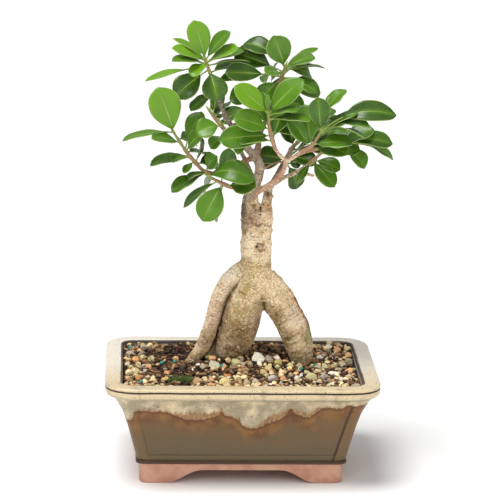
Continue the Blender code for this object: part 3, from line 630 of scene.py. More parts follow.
@dataclass(frozen=True)
class Grit:
    """A loose mineral or bark surface whose pieces carry their own tint."""

    name: str
    colour: str
    roughness: float
    grain_mm: float
    contrast: float
    relief_mm: float = 0.2

    def material(self) -> Material:
        """Build the surface from each piece's tint and a fine grain.

        Returns:
            The material.
        """
        made, node, shader = new_material(self.name, self.colour, self.roughness, 1.5)
        place = node("TexCoord", out="Object")
        tint = node("Attribute", attribute_name="tint", out="Color")
        grain = node("TexNoise", {"Vector": place, "Scale": per_size(self.grain_mm), "Detail": 5.0,
                                  "Roughness": 0.65})
        level = node("MapRange", (grain, 0.3, 0.7, 1.0 - self.contrast, 1.0 + self.contrast))
        colour = node("VectorMath", {0: tint, "Scale": level}, "SCALE")
        skin(node, shader, colour, ((grain, 1.0),), self.relief_mm, 0.8)
        return made


@dataclass(frozen=True)
class MouldedPlastic:
    """Matt black moulded polyethylene, as drain mesh is."""

    colour: str = "#1C1D1C"

    def material(self) -> Material:
        """Build the plastic, with the faint pebble of its mould.

        Returns:
            The material.
        """
        made, node, shader = new_material("moulded_polyethylene", self.colour, 0.55, 1.5)
        place = node("TexCoord", out="Object")
        pebble = node("TexNoise", {"Vector": place, "Scale": per_size(0.8)})
        colour = node("ValToRGB", (pebble,), stops=((0.3, "#161716"), (0.7, "#242624")))
        skin(node, shader, colour, ((pebble, 1.0),), 0.1, 0.5)
        return made


def linked(name: str, data: ID) -> Object:
    """A new object of some data, in the scene.

    Args:
        name: Its name.
        data: Its curve, mesh, light or camera.

    Returns:
        The object.
    """
    made = bpy.data.objects.new(name, data)
    bpy.context.scene.collection.objects.link(made)
    return made


def active() -> Object:
    """The piece that was last made or chosen."""
    return bpy.context.view_layer.objects.active


def coat(piece: Object, *finishes: Material) -> None:
    """Give a piece these finishes in place of its own.

    Args:
        piece: The piece.
        finishes: Its new materials, in their order.
    """
    piece.data.materials.clear()
    for finish in finishes:
        piece.data.materials.append(finish)


def mend(flat_degrees: float, weld: float = 0.0) -> None:
    """Clean the active mesh.

    Args:
        flat_degrees: Faces that meet at less than this angle become one.
        weld: Points closer than this, in metres, become one.
    """
    bpy.ops.object.mode_set(mode="EDIT")
    bpy.ops.mesh.select_all(action="SELECT")
    if weld:
        bpy.ops.mesh.remove_doubles(threshold=weld)
    if flat_degrees:
        bpy.ops.mesh.dissolve_limited(angle_limit=math.radians(flat_degrees))
    bpy.ops.mesh.normals_make_consistent(inside=False)
    bpy.ops.object.mode_set(mode="OBJECT")


def deselect() -> None:
    """Leave object mode's selection empty."""
    bpy.ops.object.select_all(action="DESELECT")


def choose(pieces: Iterable[Object]) -> None:
    """Select pieces and make the first one active.

    Args:
        pieces: What to select.
    """
    deselect()
    chosen = list(pieces)
    for piece in chosen:
        piece.select_set(True)
    bpy.context.view_layer.objects.active = chosen[0]


def join(name: str, pieces: list[Object]) -> Object:
    """Join pieces into the first one.

    Args:
        name: The name of the joined piece.
        pieces: What to join.

    Returns:
        The joined piece.
    """
    choose(pieces)
    bpy.ops.object.join()
    made = active()
    made.name = made.data.name = name
    return made


def apply_all(piece: Object) -> None:
    """Apply every modifier of a piece in order.

    Args:
        piece: The piece.
    """
    choose([piece])
    for modifier in list(piece.modifiers):
        bpy.ops.object.modifier_apply(modifier=modifier.name)


def mark(mesh: Mesh, name: str, values: Sequence[float] | float) -> None:
    """Store a number at every point of a mesh.

    Args:
        mesh: The mesh.
        name: The attribute's name.
        values: One number for each point, or one for all.
    """
    layer = mesh.attributes.new(name, "FLOAT", "POINT")
    count = len(mesh.vertices)
    filled = [values] * count if isinstance(values, (int, float)) else list(values)
    layer.data.foreach_set("value", filled)


def tint(mesh: Mesh, code: str, gain: float = 1.0) -> None:
    """Give every point of a mesh one colour.

    Args:
        mesh: The mesh.
        code: The colour, as a hex code.
        gain: What to multiply it by.
    """
    red, green, blue, alpha = linear(code)
    layer = mesh.attributes.new("tint", "FLOAT_COLOR", "POINT")
    layer.data.foreach_set("color", [red * gain, green * gain, blue * gain, alpha]
                           * len(mesh.vertices))


def smooth_path(points: Sequence[Sequence[float]], step: float) -> list[Vector]:
    """Points every step or so along a Catmull-Rom curve.

    Args:
        points: Place and radius of each knot.
        step: The distance to aim for.

    Returns:
        Four-part vectors of place and radius.
    """
    knots = [Vector(point) for point in points]
    knots.insert(0, knots[0] * 2 - knots[1])
    knots.append(knots[-1] * 2 - knots[-2])
    path = []
    for before, start, end, after in zip(knots, knots[1:], knots[2:], knots[3:]):
        pieces = max(2, round((end - start).length / step))
        for piece in range(pieces):
            t = piece / pieces
            path.append(0.5 * (2 * start + (end - before) * t
                               + (2 * before - 5 * start + 4 * end - after) * t * t
                               + (3 * start - before - 3 * end + after) * t ** 3))
    path.append(knots[-2])
    return path


def limbs(name: str, paths: Iterable[Sequence[Sequence[float]]],
          resolution: int) -> Object:
    """Round limbs along paths, as one mesh with capped ends.

    Args:
        name: The piece's name.
        paths: Place and radius of each point, in millimetres, for each limb.
        resolution: The curve bevel's resolution, which sets how round the limbs are.

    Returns:
        The mesh object.
    """
    line = bpy.data.curves.new(name, "CURVE")
    line.dimensions = "3D"
    line.bevel_depth = MM
    line.bevel_resolution = resolution
    line.use_fill_caps = True
    for path in paths:
        spline = line.splines.new("POLY")
        spline.points.add(len(path) - 1)
        for point, knot in zip(spline.points, path):
            point.co = (*placed(knot), 1.0)
            point.radius = knot[3]
    choose([linked(name, line)])
    bpy.ops.object.convert(target="MESH")
    return active()


class LeafTone(Enum):
    """Tone of a leaf's skin, from deep green to yellow-green, set by age; SHADED is painted shade."""

    SHADED = 0.02
    DARK = 0.17
    MATURE = 0.37
    FRESH = 0.41
    NEW = 0.85


SHADED, DARK, MATURE, FRESH, NEW = LeafTone


@dataclass
class Leaf:
    """A leaf: where it leaves its shoot, its tip from there, its width, turn and stalk.

    A turn of 0 shows the blade's upper face to the viewer, 90 shows its edge, with the
    upper face to the sky.
    """

    at: float
    tip: Point
    width: float
    turn: float
    stalk: float = 4.0
    arch: float = 1.5
    age: LeafTone = MATURE
    fold: float = 0.0
    slim: float = 1.0


@dataclass
class Shoot:
    """A leafy shoot: its twig's points and radii, its hidden leaves and those that show."""

    twig: list[Knot]
    heading: float
    hidden: int
    shown: list[Leaf] = field(default_factory=list)
    age: LeafTone = MATURE


# Wood: x, y, z and radius along each root and branch
ROOTS: dict[str, list[Knot]] = {
    "trunk": [(12, 14, 128, 15), (11.5, 14, 146, 12.4), (11.5, 14, 166, 11.6),
              (11.5, 14, 184, 11.9), (12.6, 14, 198, 10.8)],
    "left_root": [(4, 14, 152, 7.5), (-6, 14, 145, 6.6), (-12, 14, 138, 6.2),
                  (-16, 14, 130, 6), (-19, 14, 120, 6), (-23, 14, 104, 5.8),
                  (-28, 15, 90, 5.6), (-34, 15, 81, 5), (-40, 15, 72, 4.2),
                  (-44, 15, 62, 3.2)],
    "middle_root": [(10, 14, 135, 14), (3, 15, 122, 14.6), (0.5, 16, 110, 15),
                    (-2, 18, 99, 14.5), (-6, 20, 88, 12.5), (-8, 22, 78, 9.5),
                    (-9, 23, 68, 6.5), (-9, 24, 60, 4)],
    "right_root": [(16, 14, 142, 12.5), (26, 14, 130, 13), (34, 14, 118, 12.6),
                   (40, 14, 107, 12), (44, 14, 97, 11.6), (47, 14, 87, 10.2),
                   (48, 14, 78, 8.5), (50, 15, 68, 6.5), (52, 15, 60, 4)],
    "back_root": [(8, 20, 132, 10), (0, 32, 112, 8), (-6, 41, 95, 6.6), (-9, 46, 80, 5.4),
                  (-11, 49, 66, 3.6)],
}
BRANCHES: dict[str, list[Knot]] = {
    "left_stem": [(7, 14, 192, 8), (6.3, 14, 204, 6.2), (8, 13, 213, 4.6), (12, 13, 223, 3.9),
                  (12.6, 13, 233, 3.8), (8, 13, 240, 3.2), (-1, 12, 250, 2.8),
                  (-9, 12, 262, 2.5), (-15, 11, 273, 2.3), (-20, 11, 285, 2.1)],
    "right_stub": [(18, 14, 194, 5.6), (19, 14, 205, 3.8), (20.5, 14, 216, 3.3),
                   (25, 12, 219, 2.5), (31, 11, 223, 2.2), (38, 10, 226, 2.1),
                   (43, 10, 229, 2.0), (50, 9, 234, 1.9)],
    "front_branch": [(9, 11, 210, 2.6), (14, 9, 214, 2.7), (21, 6, 219, 2.6),
                     (27, 3, 225, 2.5), (31, 1, 233, 2.4), (32, 0, 239, 2.2)],
    "left_arm": [(32, 0, 238, 2.0), (27, -3, 243, 1.9), (23, -5, 249, 1.8)],
    "right_arm": [(32, 0, 238, 2.0), (37, -2, 241, 1.9), (43, -6, 247, 1.8)],
    "far_arm": [(36, -1, 240, 1.9), (42, 2, 243, 1.8), (48, 4, 245, 1.7)],
    "dead_stub": [(33, 0, 239, 1.7), (37, 0, 249, 1.4)],
    "cut_stub": [(42, 10, 228, 1.8), (54, 8, 225, 1.6)],
    "cross_twig": [(13, 12, 228, 1.6), (24, 7, 235, 1.4), (31, 2, 237, 1.4)],
    "low_left_twig": [(5, 12, 210, 2.6), (-3, 8, 214, 2.0), (-10, 4, 217, 1.8)],
    "long_left_twig": [(8, 13, 238, 2.6), (-8, 10, 231, 2.2), (-21, 8, 226, 1.9)],
    "centre_left_twig": [(-2, 12, 250, 2.2), (-8, 5, 253, 1.9), (-12, 0, 257, 1.7)],
    "top_stem": [(10, 14, 236, 2.8), (13, 17, 255, 2.4), (20, 20, 272, 2.1),
                 (25, 20, 287, 1.9)],
    "inner_right_twig": [(20, 15, 213, 2.6), (27, 21, 221, 2.1), (32, 25, 228, 1.8)],
    "back_left_twig": [(9, 14, 218, 2.8), (1, 26, 236, 2.2), (-8, 36, 250, 1.9)],
    "back_right_twig": [(20, 15, 212, 2.8), (29, 28, 226, 2.2), (38, 39, 240, 1.9)],
    "back_centre_twig": [(12, 15, 228, 2.6), (13, 28, 248, 2.1), (14, 37, 266, 1.9)],
}

# Shoots, each with the leaves that show from the front
SHOOTS: dict[str, Shoot] = {
    "shoot_upper_left": Shoot(
        [(-20, 11, 285, 1.9), (-25, 10, 300, 1.6), (-30, 9, 314, 1.3)], 80, 3, [
        Leaf(0.95, (-10, -4, 30), 19, 0, age=NEW, slim=0.92),
        Leaf(0.95, (18, -3, 22), 16, 42), Leaf(0.9, (-25, 9, 16), 14, 60, age=NEW),
        Leaf(0.9, (-26, -8, 11), 15, 42, age=NEW), Leaf(0.85, (-26, -17, 5), 14, 48),
        Leaf(0.9, (-11, -18, -8), 12, 32, age=NEW),
        Leaf(0.9, (23, -9, 13), 15, 45, age=NEW), Leaf(0.8, (32, 6, 2), 14, 68),
        Leaf(0.8, (-46, 0, -12), 14, 55, 17, age=NEW),
        Leaf(0.7, (-25, -10, -19), 20, 5, 8, age=DARK), Leaf(0.7, (6, -14, -21), 20, 0, age=DARK),
        Leaf(0.12, (-19, -8, -14), 13, 35, age=DARK),
    ], FRESH),
    "shoot_top_centre": Shoot(
        [(25, 20, 287, 1.8), (28, 19, 297, 1.6), (31, 17, 307, 1.3)], 80, 3, [
        Leaf(0.95, (-10, -5, 25), 20, 0), Leaf(0.95, (22, -6, 9), 15, 40, age=FRESH),
        Leaf(0.85, (31, 8, 2), 13, 66, age=SHADED), Leaf(0.6, (26, -12, -9), 15, 35, 10),
        Leaf(0.95, (-31, 9, 17), 17, 15, 12, 6, SHADED),
        Leaf(0.8, (-38, -2, 13), 21, 10, 12, age=SHADED),
        Leaf(0.6, (-46, -14, 6), 16, 10, 18, age=SHADED), Leaf(0.7, (-14, -16, 4), 13, 40),
        Leaf(0.5, (-14, 4, -16), 16, 15), Leaf(0.3, (14, 6, -25), 20, 8),
        Leaf(0.1, (-36, 8, -9), 17, 12, 13), Leaf(0.8, (-9, 7, -6), 12, 30),
        Leaf(0.6, (9, -4, -14), 12, 20),
    ]),
    "shoot_front_centre": Shoot(
        [(23, -5, 249, 1.8), (19, -8, 262, 1.6), (17, -11, 277, 1.3)], 60, 2, [
        Leaf(0.35, (-39, -10, -2), 19, 5, age=FRESH), Leaf(0.5, (-28, -12, 11), 18, 15),
        Leaf(0.6, (-14, 9, 14), 14, 35), Leaf(0.95, (-26, -8, 22), 17, 5, age=NEW),
        Leaf(0.95, (25, -5, 27), 18, 12, age=FRESH), Leaf(0.9, (-5, 5, 17), 10, 40, 3),
        Leaf(0.9, (21, -15, 6), 13, 50), Leaf(0.75, (23, -2, 13), 13, 60),
        Leaf(0.22, (10, 6, 26), 17, 15), Leaf(0.2, (-25, -14, 1), 14, 45),
        Leaf(1.0, (-1, -2, 14), 4, 10, 1),
    ]),
    "shoot_right": Shoot([(43, -6, 247, 1.8), (51, -8, 252, 1.6), (57, -9, 262, 1.3)], 40, 2, [
        Leaf(1.0, (-3, -3, 27), 17, 0, age=DARK), Leaf(1.0, (18, 5, 32), 14, 42, 17, 6),
        Leaf(0.98, (56, -3, 14), 18, 8, 19, 11, SHADED),
        Leaf(0.95, (36, -14, 7), 15, 55, 12, 6), Leaf(0.95, (16, 7, 6), 11, 62),
        Leaf(0.9, (32, -22, 2), 13, 74, 6, 5), Leaf(0.3, (-16, -6, 23), 16, 15),
        Leaf(0.4, (-5, 8, 30), 19, 15),
    ]),
    "shoot_far_right": Shoot([(48, 4, 245, 1.7), (60, 3, 248, 1.5), (76, 1, 252, 1.2)], 60, 2, [
        Leaf(0.9, (15, -8, 7), 13, 36), Leaf(1.0, (36, -4, 0), 16, 22, 5, 4, DARK),
        Leaf(1.0, (38, 6, -13), 11, 35, 20, 4), Leaf(0.95, (17, -8, -17), 15, 30),
        Leaf(0.15, (24, -24, 2), 17, 12, 6, 4),
    ]),
    "shoot_lower_right": Shoot([(50, 9, 234, 1.8), (55, 8, 239, 1.5), (61, 8, 245, 1.2)], 40, 2, [
        Leaf(0.3, (20, -8, -6), 14, 20), Leaf(0.2, (16, -18, -16), 15, 15),
        Leaf(0.3, (-15, -14, -16), 11, 10, 7, slim=0.6), Leaf(0.8, (20, 10, 0), 14, 50),
    ]),
    "shoot_left": Shoot([(-21, 8, 226, 1.9), (-29, 7, 228, 1.8), (-37, 6, 236, 1.7),
                         (-44, 5, 245, 1.5), (-53, 3, 259, 1.3)], 110, 3, [
        Leaf(1.0, (-13, -4, 35), 25, 0, 3, age=NEW), Leaf(1.0, (-38, -3, -6), 16, 60, 4, 2, FRESH),
        Leaf(0.8, (-22, -14, 6), 15, 38, age=FRESH), Leaf(0.63, (11, -9, 15), 15, 38),
        Leaf(0.5, (-31, -6, -4), 15, 45), Leaf(0.38, (4, 6, 20), 12, 80, age=SHADED),
        Leaf(0.12, (-27, -12, -13), 15, 42), Leaf(0.42, (-8, -12, -7), 7, 30),
        Leaf(0.68, (12, 12, 27), 16, 24, 7), Leaf(0.1, (-16, -10, -2), 11, 55),
        Leaf(0.15, (8, -8, 14), 14, 30), Leaf(0.55, (-13, -12, -2), 12, 40),
    ]),
    "shoot_lower_left": Shoot(
        [(-10, 4, 217, 1.7), (-18, 2, 221, 1.5), (-26, -2, 226, 1.2)], 150, 2, [
        Leaf(0.35, (-15, -10, -27), 21, 0, age=FRESH), Leaf(0.6, (-25, 4, -21), 14, 50),
        Leaf(0.3, (-6, 8, -31), 12, 50), Leaf(1.0, (33, -14, 0), 27, 8, 2, 7, FRESH, slim=0.7),
        Leaf(0.1, (25, -8, 3), 19, 12),
    ]),
    "shoot_centre_left": Shoot(
        [(-12, 0, 257, 1.7), (-15, -4, 262, 1.5), (-18, -7, 268, 1.2)], 150, 1, [
        Leaf(0.8, (-20, -6, -4), 17, 12), Leaf(0.1, (-13, -4, -9), 12, 25),
        Leaf(0.1, (9, -12, -13), 14, 45),
    ]),
    # Leaves deep in the crown get the SHADED tone, which is painted shade
    "shoot_inner_right": Shoot(
        [(32, 25, 228, 1.7), (36, 28, 236, 1.5), (40, 30, 244, 1.2)], 60, 2, [
        Leaf(0.3, (-22, -6, 4), 16, 15), Leaf(0.45, (-20, 4, -8), 14, 20),
        Leaf(0.2, (8, -10, -18), 15, 15), Leaf(0.5, (20, -10, -4), 15, 20),
        Leaf(0.1, (12, -4, 2), 12, 20), Leaf(0.9, (-8, -8, 22), 16, 15),
    ], SHADED),
    # The shoots behind get the DARK tone as painted shade
    "shoot_back_left": Shoot(
        [(-8, 36, 250, 1.9), (-17, 42, 258, 1.6), (-25, 46, 268, 1.3)], 110, 7, [], DARK),
    "shoot_back_right": Shoot(
        [(38, 39, 240, 1.9), (47, 44, 248, 1.6), (55, 47, 258, 1.3)], 60, 7, [], DARK),
    "shoot_back_centre": Shoot(
        [(14, 37, 266, 1.8), (15, 42, 276, 1.6), (17, 45, 288, 1.3)], 90, 7, [], DARK),
}


@dataclass
class GlazedPot:
    """The rectangular pot: the CAD form with its edges softened and its glaze on."""

    rim_length: float = 206.0
    rim_depth: float = 151.6
    rim_top: float = 80.4
    rim_width: float = 12.9
    rim_corner: float = 22.0
    neck_groove: float = 72.0
    rim_line: float = 77.7
    base_line: float = 18.6
    bead_top: float = 17.9
    skirt_top: float = 15.4
    # Place along the front, height, spread and strength of the ochre pools in the brown
    pools: Rows = (
        (-80, 47, 6, 0.7), (-47, 49, 6, 0.6), (-28, 46, 5, 0.35), (50, 53, 6, 0.9),
        (66, 58, 12, 0.8), (-90, 40, 9, 0.45), (54, 45, 5, 0.4))
    # Place along the front and width of the thin fringe
    fringe_width: Rows = (
        (-103, 1), (-80, 1.2), (-56, 1.5), (-50, 3.5), (-42, 5.5), (-36, 7.5), (-30, 6.5),
        (-24, 4.6), (-17, 3.5), (-11, 1.5), (-3, 2.6), (0, 1), (8, 1), (12, 2.5), (17, 4.5),
        (22, 6.5), (28, 6.5), (33, 2.8), (35, 0.6), (38, 3), (43, 3.5), (49, 5), (54, 3.6),
        (60, 1.5), (70, 0.8), (103, 1))
    # Height and inset where the panels start and end, and their distance from the corner
    panel_low: tuple[float, float] = (22.6, 23.1)
    panel_high: tuple[float, float] = (57.4, 13.8)
    panel_margin: float = 10.0
    edge_radius: float = 0.35
    weld: float = 0.01
    # Place along the front and height of the cream glaze's lower edge, with its drips
    glaze_edge: Rows = (
        (-103, 66), (-92, 55), (-88, 54), (-83, 52.2), (-80.5, 60), (-64, 60), (-56, 59.5),
        (-51, 56.5), (-47, 55), (-42, 52.8), (-36, 52.6), (-31, 53), (-26, 54.2), (-18, 57),
        (-16, 60.5), (-14, 57), (-8, 55), (-4, 52.8), (0, 48), (7, 45.5), (12, 46.3), (17, 49),
        (22, 51.2), (27, 53.3), (33, 59), (35.3, 63.5), (38, 59.5), (43, 57), (49, 55.3),
        (53, 59), (58, 63), (64, 64.6), (69, 63.4), (74, 64.2), (79.5, 66.4), (83, 65.4),
        (88, 66), (103, 66))

    def build(self, glaze: StonewareGlaze) -> None:
        """Merge, soften and glaze a copy of the CAD pot.

        Args:
            glaze: The finish.
        """
        choose([bpy.data.objects["pot"]])
        bpy.ops.object.duplicate()
        pot = active()
        pot.name = pot.data.name = "pot_glazed"
        coat(pot, glaze.material(self))
        mend(0.2, self.weld * MM)
        soft = pot.modifiers.new("soft_edges", "BEVEL")
        soft.width = self.edge_radius * MM
        soft.segments = 3
        soft.limit_method = "ANGLE"
        soft.angle_limit = math.radians(28)
        apply_all(pot)
        choose([pot])
        bpy.ops.object.shade_smooth_by_angle(angle=math.radians(35))
        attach(pot, "root")
        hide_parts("pot")


@dataclass
class Crown:
    """Where every leaf grows: the same plan as the CAD model's."""

    seed: int = 11
    stalk_width: float = 1.7
    thickness: float = 1.3
    keep_clear: float = 0.7
    wood_clear: float = 1.6
    scatter: float = 0.35
    view: Vector = field(default_factory=lambda: Vector((0.0, -0.9, 0.44)))
    leans: tuple[int, ...] = (0, 4, -4, 8, -8, 12, -12, 16, -16, 20, -20, 25, -25)
    outline: Rows = ((0.0, 0.1), (0.25, 0.78), (0.6, 1.0), (0.9, 0.64))

    @staticmethod
    def tree_through(rings: list[list[Vector]], tip: Vector | None = None) -> BVHTree:
        """Fill a search tree with the closed body through some rings.

        Args:
            rings: Cross-sections with the same number of points.
            tip: Where the body ends in a point, if it does.

        Returns:
            The tree.
        """
        count = len(rings[0])
        points = [point for ring in rings for point in ring]
        last = len(points) - count
        faces = [tuple(range(count))]
        if tip is None:
            faces.append(tuple(range(last, len(points))))
        else:
            points.append(tip)
            faces += [(last + step, last + (step + 1) % count, len(points) - 1)
                      for step in range(count)]
        for row in range(len(rings) - 1):
            for step in range(count):
                following = (step + 1) % count
                faces.append((row * count + step, row * count + following,
                              (row + 1) * count + following, (row + 1) * count + step))
        return BVHTree.FromPolygons(points, faces)

    def limb_tree(self, points: Sequence[Knot], sides: int, swell: float) -> BVHTree:
        """Fill a search tree with a round limb, swollen by a clearance.

        Args:
            points: The limb's knots.
            sides: How many sides it gets.
            swell: The clearance in millimetres.

        Returns:
            The tree.
        """
        path = smooth_path(points, 4.0)
        rings = []
        for index, knot in enumerate(path):
            along = path[min(index + 1, len(path) - 1)].xyz - path[max(index - 1, 0)].xyz
            side = Vector((0.0, 1.0, 0.0)).cross(along).normalized()
            up = along.cross(side).normalized()
            turns = [math.tau * corner / sides for corner in range(sides)]
            rings.append([knot.xyz + (knot.w + swell)
                          * (math.cos(turn) * side + math.sin(turn) * up) for turn in turns])
        return self.tree_through(rings)

    def hidden_leaves(self, shoot: Shoot, rng: random.Random) -> list[Leaf]:
        """Grow the leaves on the far side of a shoot, in a spiral.

        Args:
            shoot: The shoot.
            rng: Draws their length, rise, width and turn.

        Returns:
            The leaves, from its foot to its tip.
        """
        leaves = []
        for number in range(shoot.hidden):
            swing = (number * 137.5) % 130.0 - 65.0
            around = math.radians(shoot.heading + swing)
            rise = math.radians(rng.uniform(-20.0, 35.0))
            length = rng.uniform(25.0, 36.0)
            tip = (length * math.cos(around) * math.cos(rise),
                   length * math.sin(around) * math.cos(rise), length * math.sin(rise))
            leaves.append(Leaf(0.25 + 0.75 * (number + 0.5) / shoot.hidden, tip,
                               rng.uniform(15.0, 20.0), rng.uniform(20, 75), 5.0))
        return leaves

    def plan(self) -> dict[str, list["Blade"]]:
        """Place every leaf, bent clear of the wood and of the other shoots' leaves.

        Returns:
            The placed leaves of each shoot.
        """
        rng = random.Random(self.seed)
        wood = [self.limb_tree(limb, 12, self.wood_clear) for limb in (ROOTS | BRANCHES).values()]
        stems = {name: self.limb_tree(shoot.twig, 5, self.keep_clear)
                 for name, shoot in SHOOTS.items()}
        taken: dict[str, list[BVHTree]] = {name: [] for name in SHOOTS}
        plan: dict[str, list[Blade]] = {name: [] for name in SHOOTS}
        jobs = [(name, leaf, False) for name, shoot in SHOOTS.items() for leaf in shoot.shown]
        for name, shoot in SHOOTS.items():
            jobs += [(name, leaf, True) for leaf in self.hidden_leaves(shoot, rng)]
        for name, leaf, spare in jobs:
            leaf.fold = rng.uniform(0.12, 0.3)
            path = smooth_path(SHOOTS[name].twig, 2.0)
            place = leaf.at * (len(path) - 1)
            low = min(int(place), len(path) - 2)
            root = path[low].xyz.lerp(path[low + 1].xyz, place - low)
            root += Vector([rng.uniform(-self.scatter, self.scatter) for axis in range(3)])
            others = wood + [tree for other, tree in stems.items() if other != name]
            others += [tree for other in SHOOTS if other != name for tree in taken[other]]
            for lean in self.leans:
                blade = Blade(root, leaf, lean, self.view)
                rings, tip = blade.rings(self)
                rings[0] = [start.lerp(end, 0.5) for start, end in zip(rings[0], rings[1])]
                test = self.tree_through(rings, tip)
                if not any(test.overlap(other) for other in others):
                    break
            else:
                if spare:
                    continue
                blade = Blade(root, leaf, 0, self.view)
            taken[name].append(test)
            plan[name].append(blade)
        return plan


class Blade:
    """A placed leaf: its run, its upper side and its bow."""

    def __init__(self, root: Vector, leaf: Leaf, lean: float, view: Vector) -> None:
        """Work out the leaf's own axes.

        Args:
            root: Where its stalk leaves the twig, in millimetres.
            leaf: Its sizes.
            lean: How far its tip is bent away from the viewer.
            view: The way towards the viewer.
        """
        reach = Vector(leaf.tip)
        chord = reach + Vector((0.0, lean, 0.0))
        chord *= reach.length / chord.length
        along = chord.normalized()
        face = (view - along * view.dot(along)).normalized()
        upward = along.cross(face)
        if upward.z + 0.3 * upward.x * math.copysign(1.0, chord.x) < 0:
            upward = -upward
        turn = math.radians(leaf.turn)
        self.root = root
        self.leaf = leaf
        self.chord = chord
        self.along = along
        self.normal = math.cos(turn) * face + math.sin(turn) * upward
        self.side = along.cross(self.normal)
        up = Vector((0.0, 0.0, 1.0))
        self.bow = (self.normal + up - along * along.z).normalized() * leaf.arch
        self.start = leaf.stalk / chord.length

    def middle(self, place: float) -> Vector:
        """The point of the midrib at a share of the chord."""
        return self.root + self.chord * place + self.bow * 4 * place * (1 - place)

    def rings(self, crown: Crown) -> tuple[list[list[Vector]], Vector]:
        """Work out the simple form that keeps other leaves clear.

        Args:
            crown: Gives the width of its stalk and how far others keep clear.

        Returns:
            Its cross-sections and its tip.
        """
        swell = crown.keep_clear
        leaf = self.leaf
        stations = [(0.0, crown.stalk_width / leaf.width)]
        stations += [(self.start + (1 - self.start) * place, share)
                     for place, share in crown.outline]
        rings = []
        for place, share in stations:
            middle = self.middle(place)
            reach = share * leaf.width / 2 + swell
            raised = self.normal * (leaf.fold * share * leaf.width / 2)
            thick = self.normal * (crown.thickness / 2 + swell)
            rings.append([middle + self.side * reach + raised, middle + thick,
                          middle - self.side * reach + raised, middle - thick])
        return rings, self.root + self.chord + self.along * swell


@dataclass(frozen=True)
class Stain:
    """A soft patch of colour on the bark, some painted shade: middle, reach along x, y, z, strength."""

    middle: Point
    reach: Point
    colour: str
    strength: float

    def weight(self, place: Vector) -> float:
        """How strongly it colours a place.

        Args:
            place: The place, in millimetres.

        Returns:
            The strength there, 0 far away.
        """
        away = [(place[axis] - self.middle[axis]) / self.reach[axis] for axis in range(3)]
        square = sum(share * share for share in away)
        return self.strength * math.exp(-square) if square < 6 else 0.0


@dataclass
class Limb:
    """A root or branch: its run, the length up to each knot, and a search tree over them."""

    name: str
    path: list[Vector]

    def __post_init__(self) -> None:
        """Measure the run and fill the tree."""
        self.tree = KDTree(len(self.path))
        self.runs = [0.0]
        for index, knot in enumerate(self.path):
            self.tree.insert(knot.xyz, index)
            if index:
                self.runs.append(self.runs[-1] + (knot.xyz - self.path[index - 1].xyz).length)
        self.tree.balance()


@dataclass
class BarkSpot:
    """A point of the bark, with its limb and how far the next one stands from it."""

    place: Vector
    limb: str
    beside: str
    gap: float
    radius: float
    run: float                   # along its limb
    rough: float                 # how uneven its stains are

    @property
    def thick(self) -> bool:
        """Whether it lies on a root or the trunk."""
        return self.limb in ROOTS or self.limb == "web"

    @property
    def young(self) -> float:
        """How young its wood is, from 0 for roots to 1 for the thinnest twigs."""
        return 0.0 if self.thick else clamped((7.0 - self.radius) / 5.0)


Layer = tuple[str, float]        # a colour and how strongly it covers


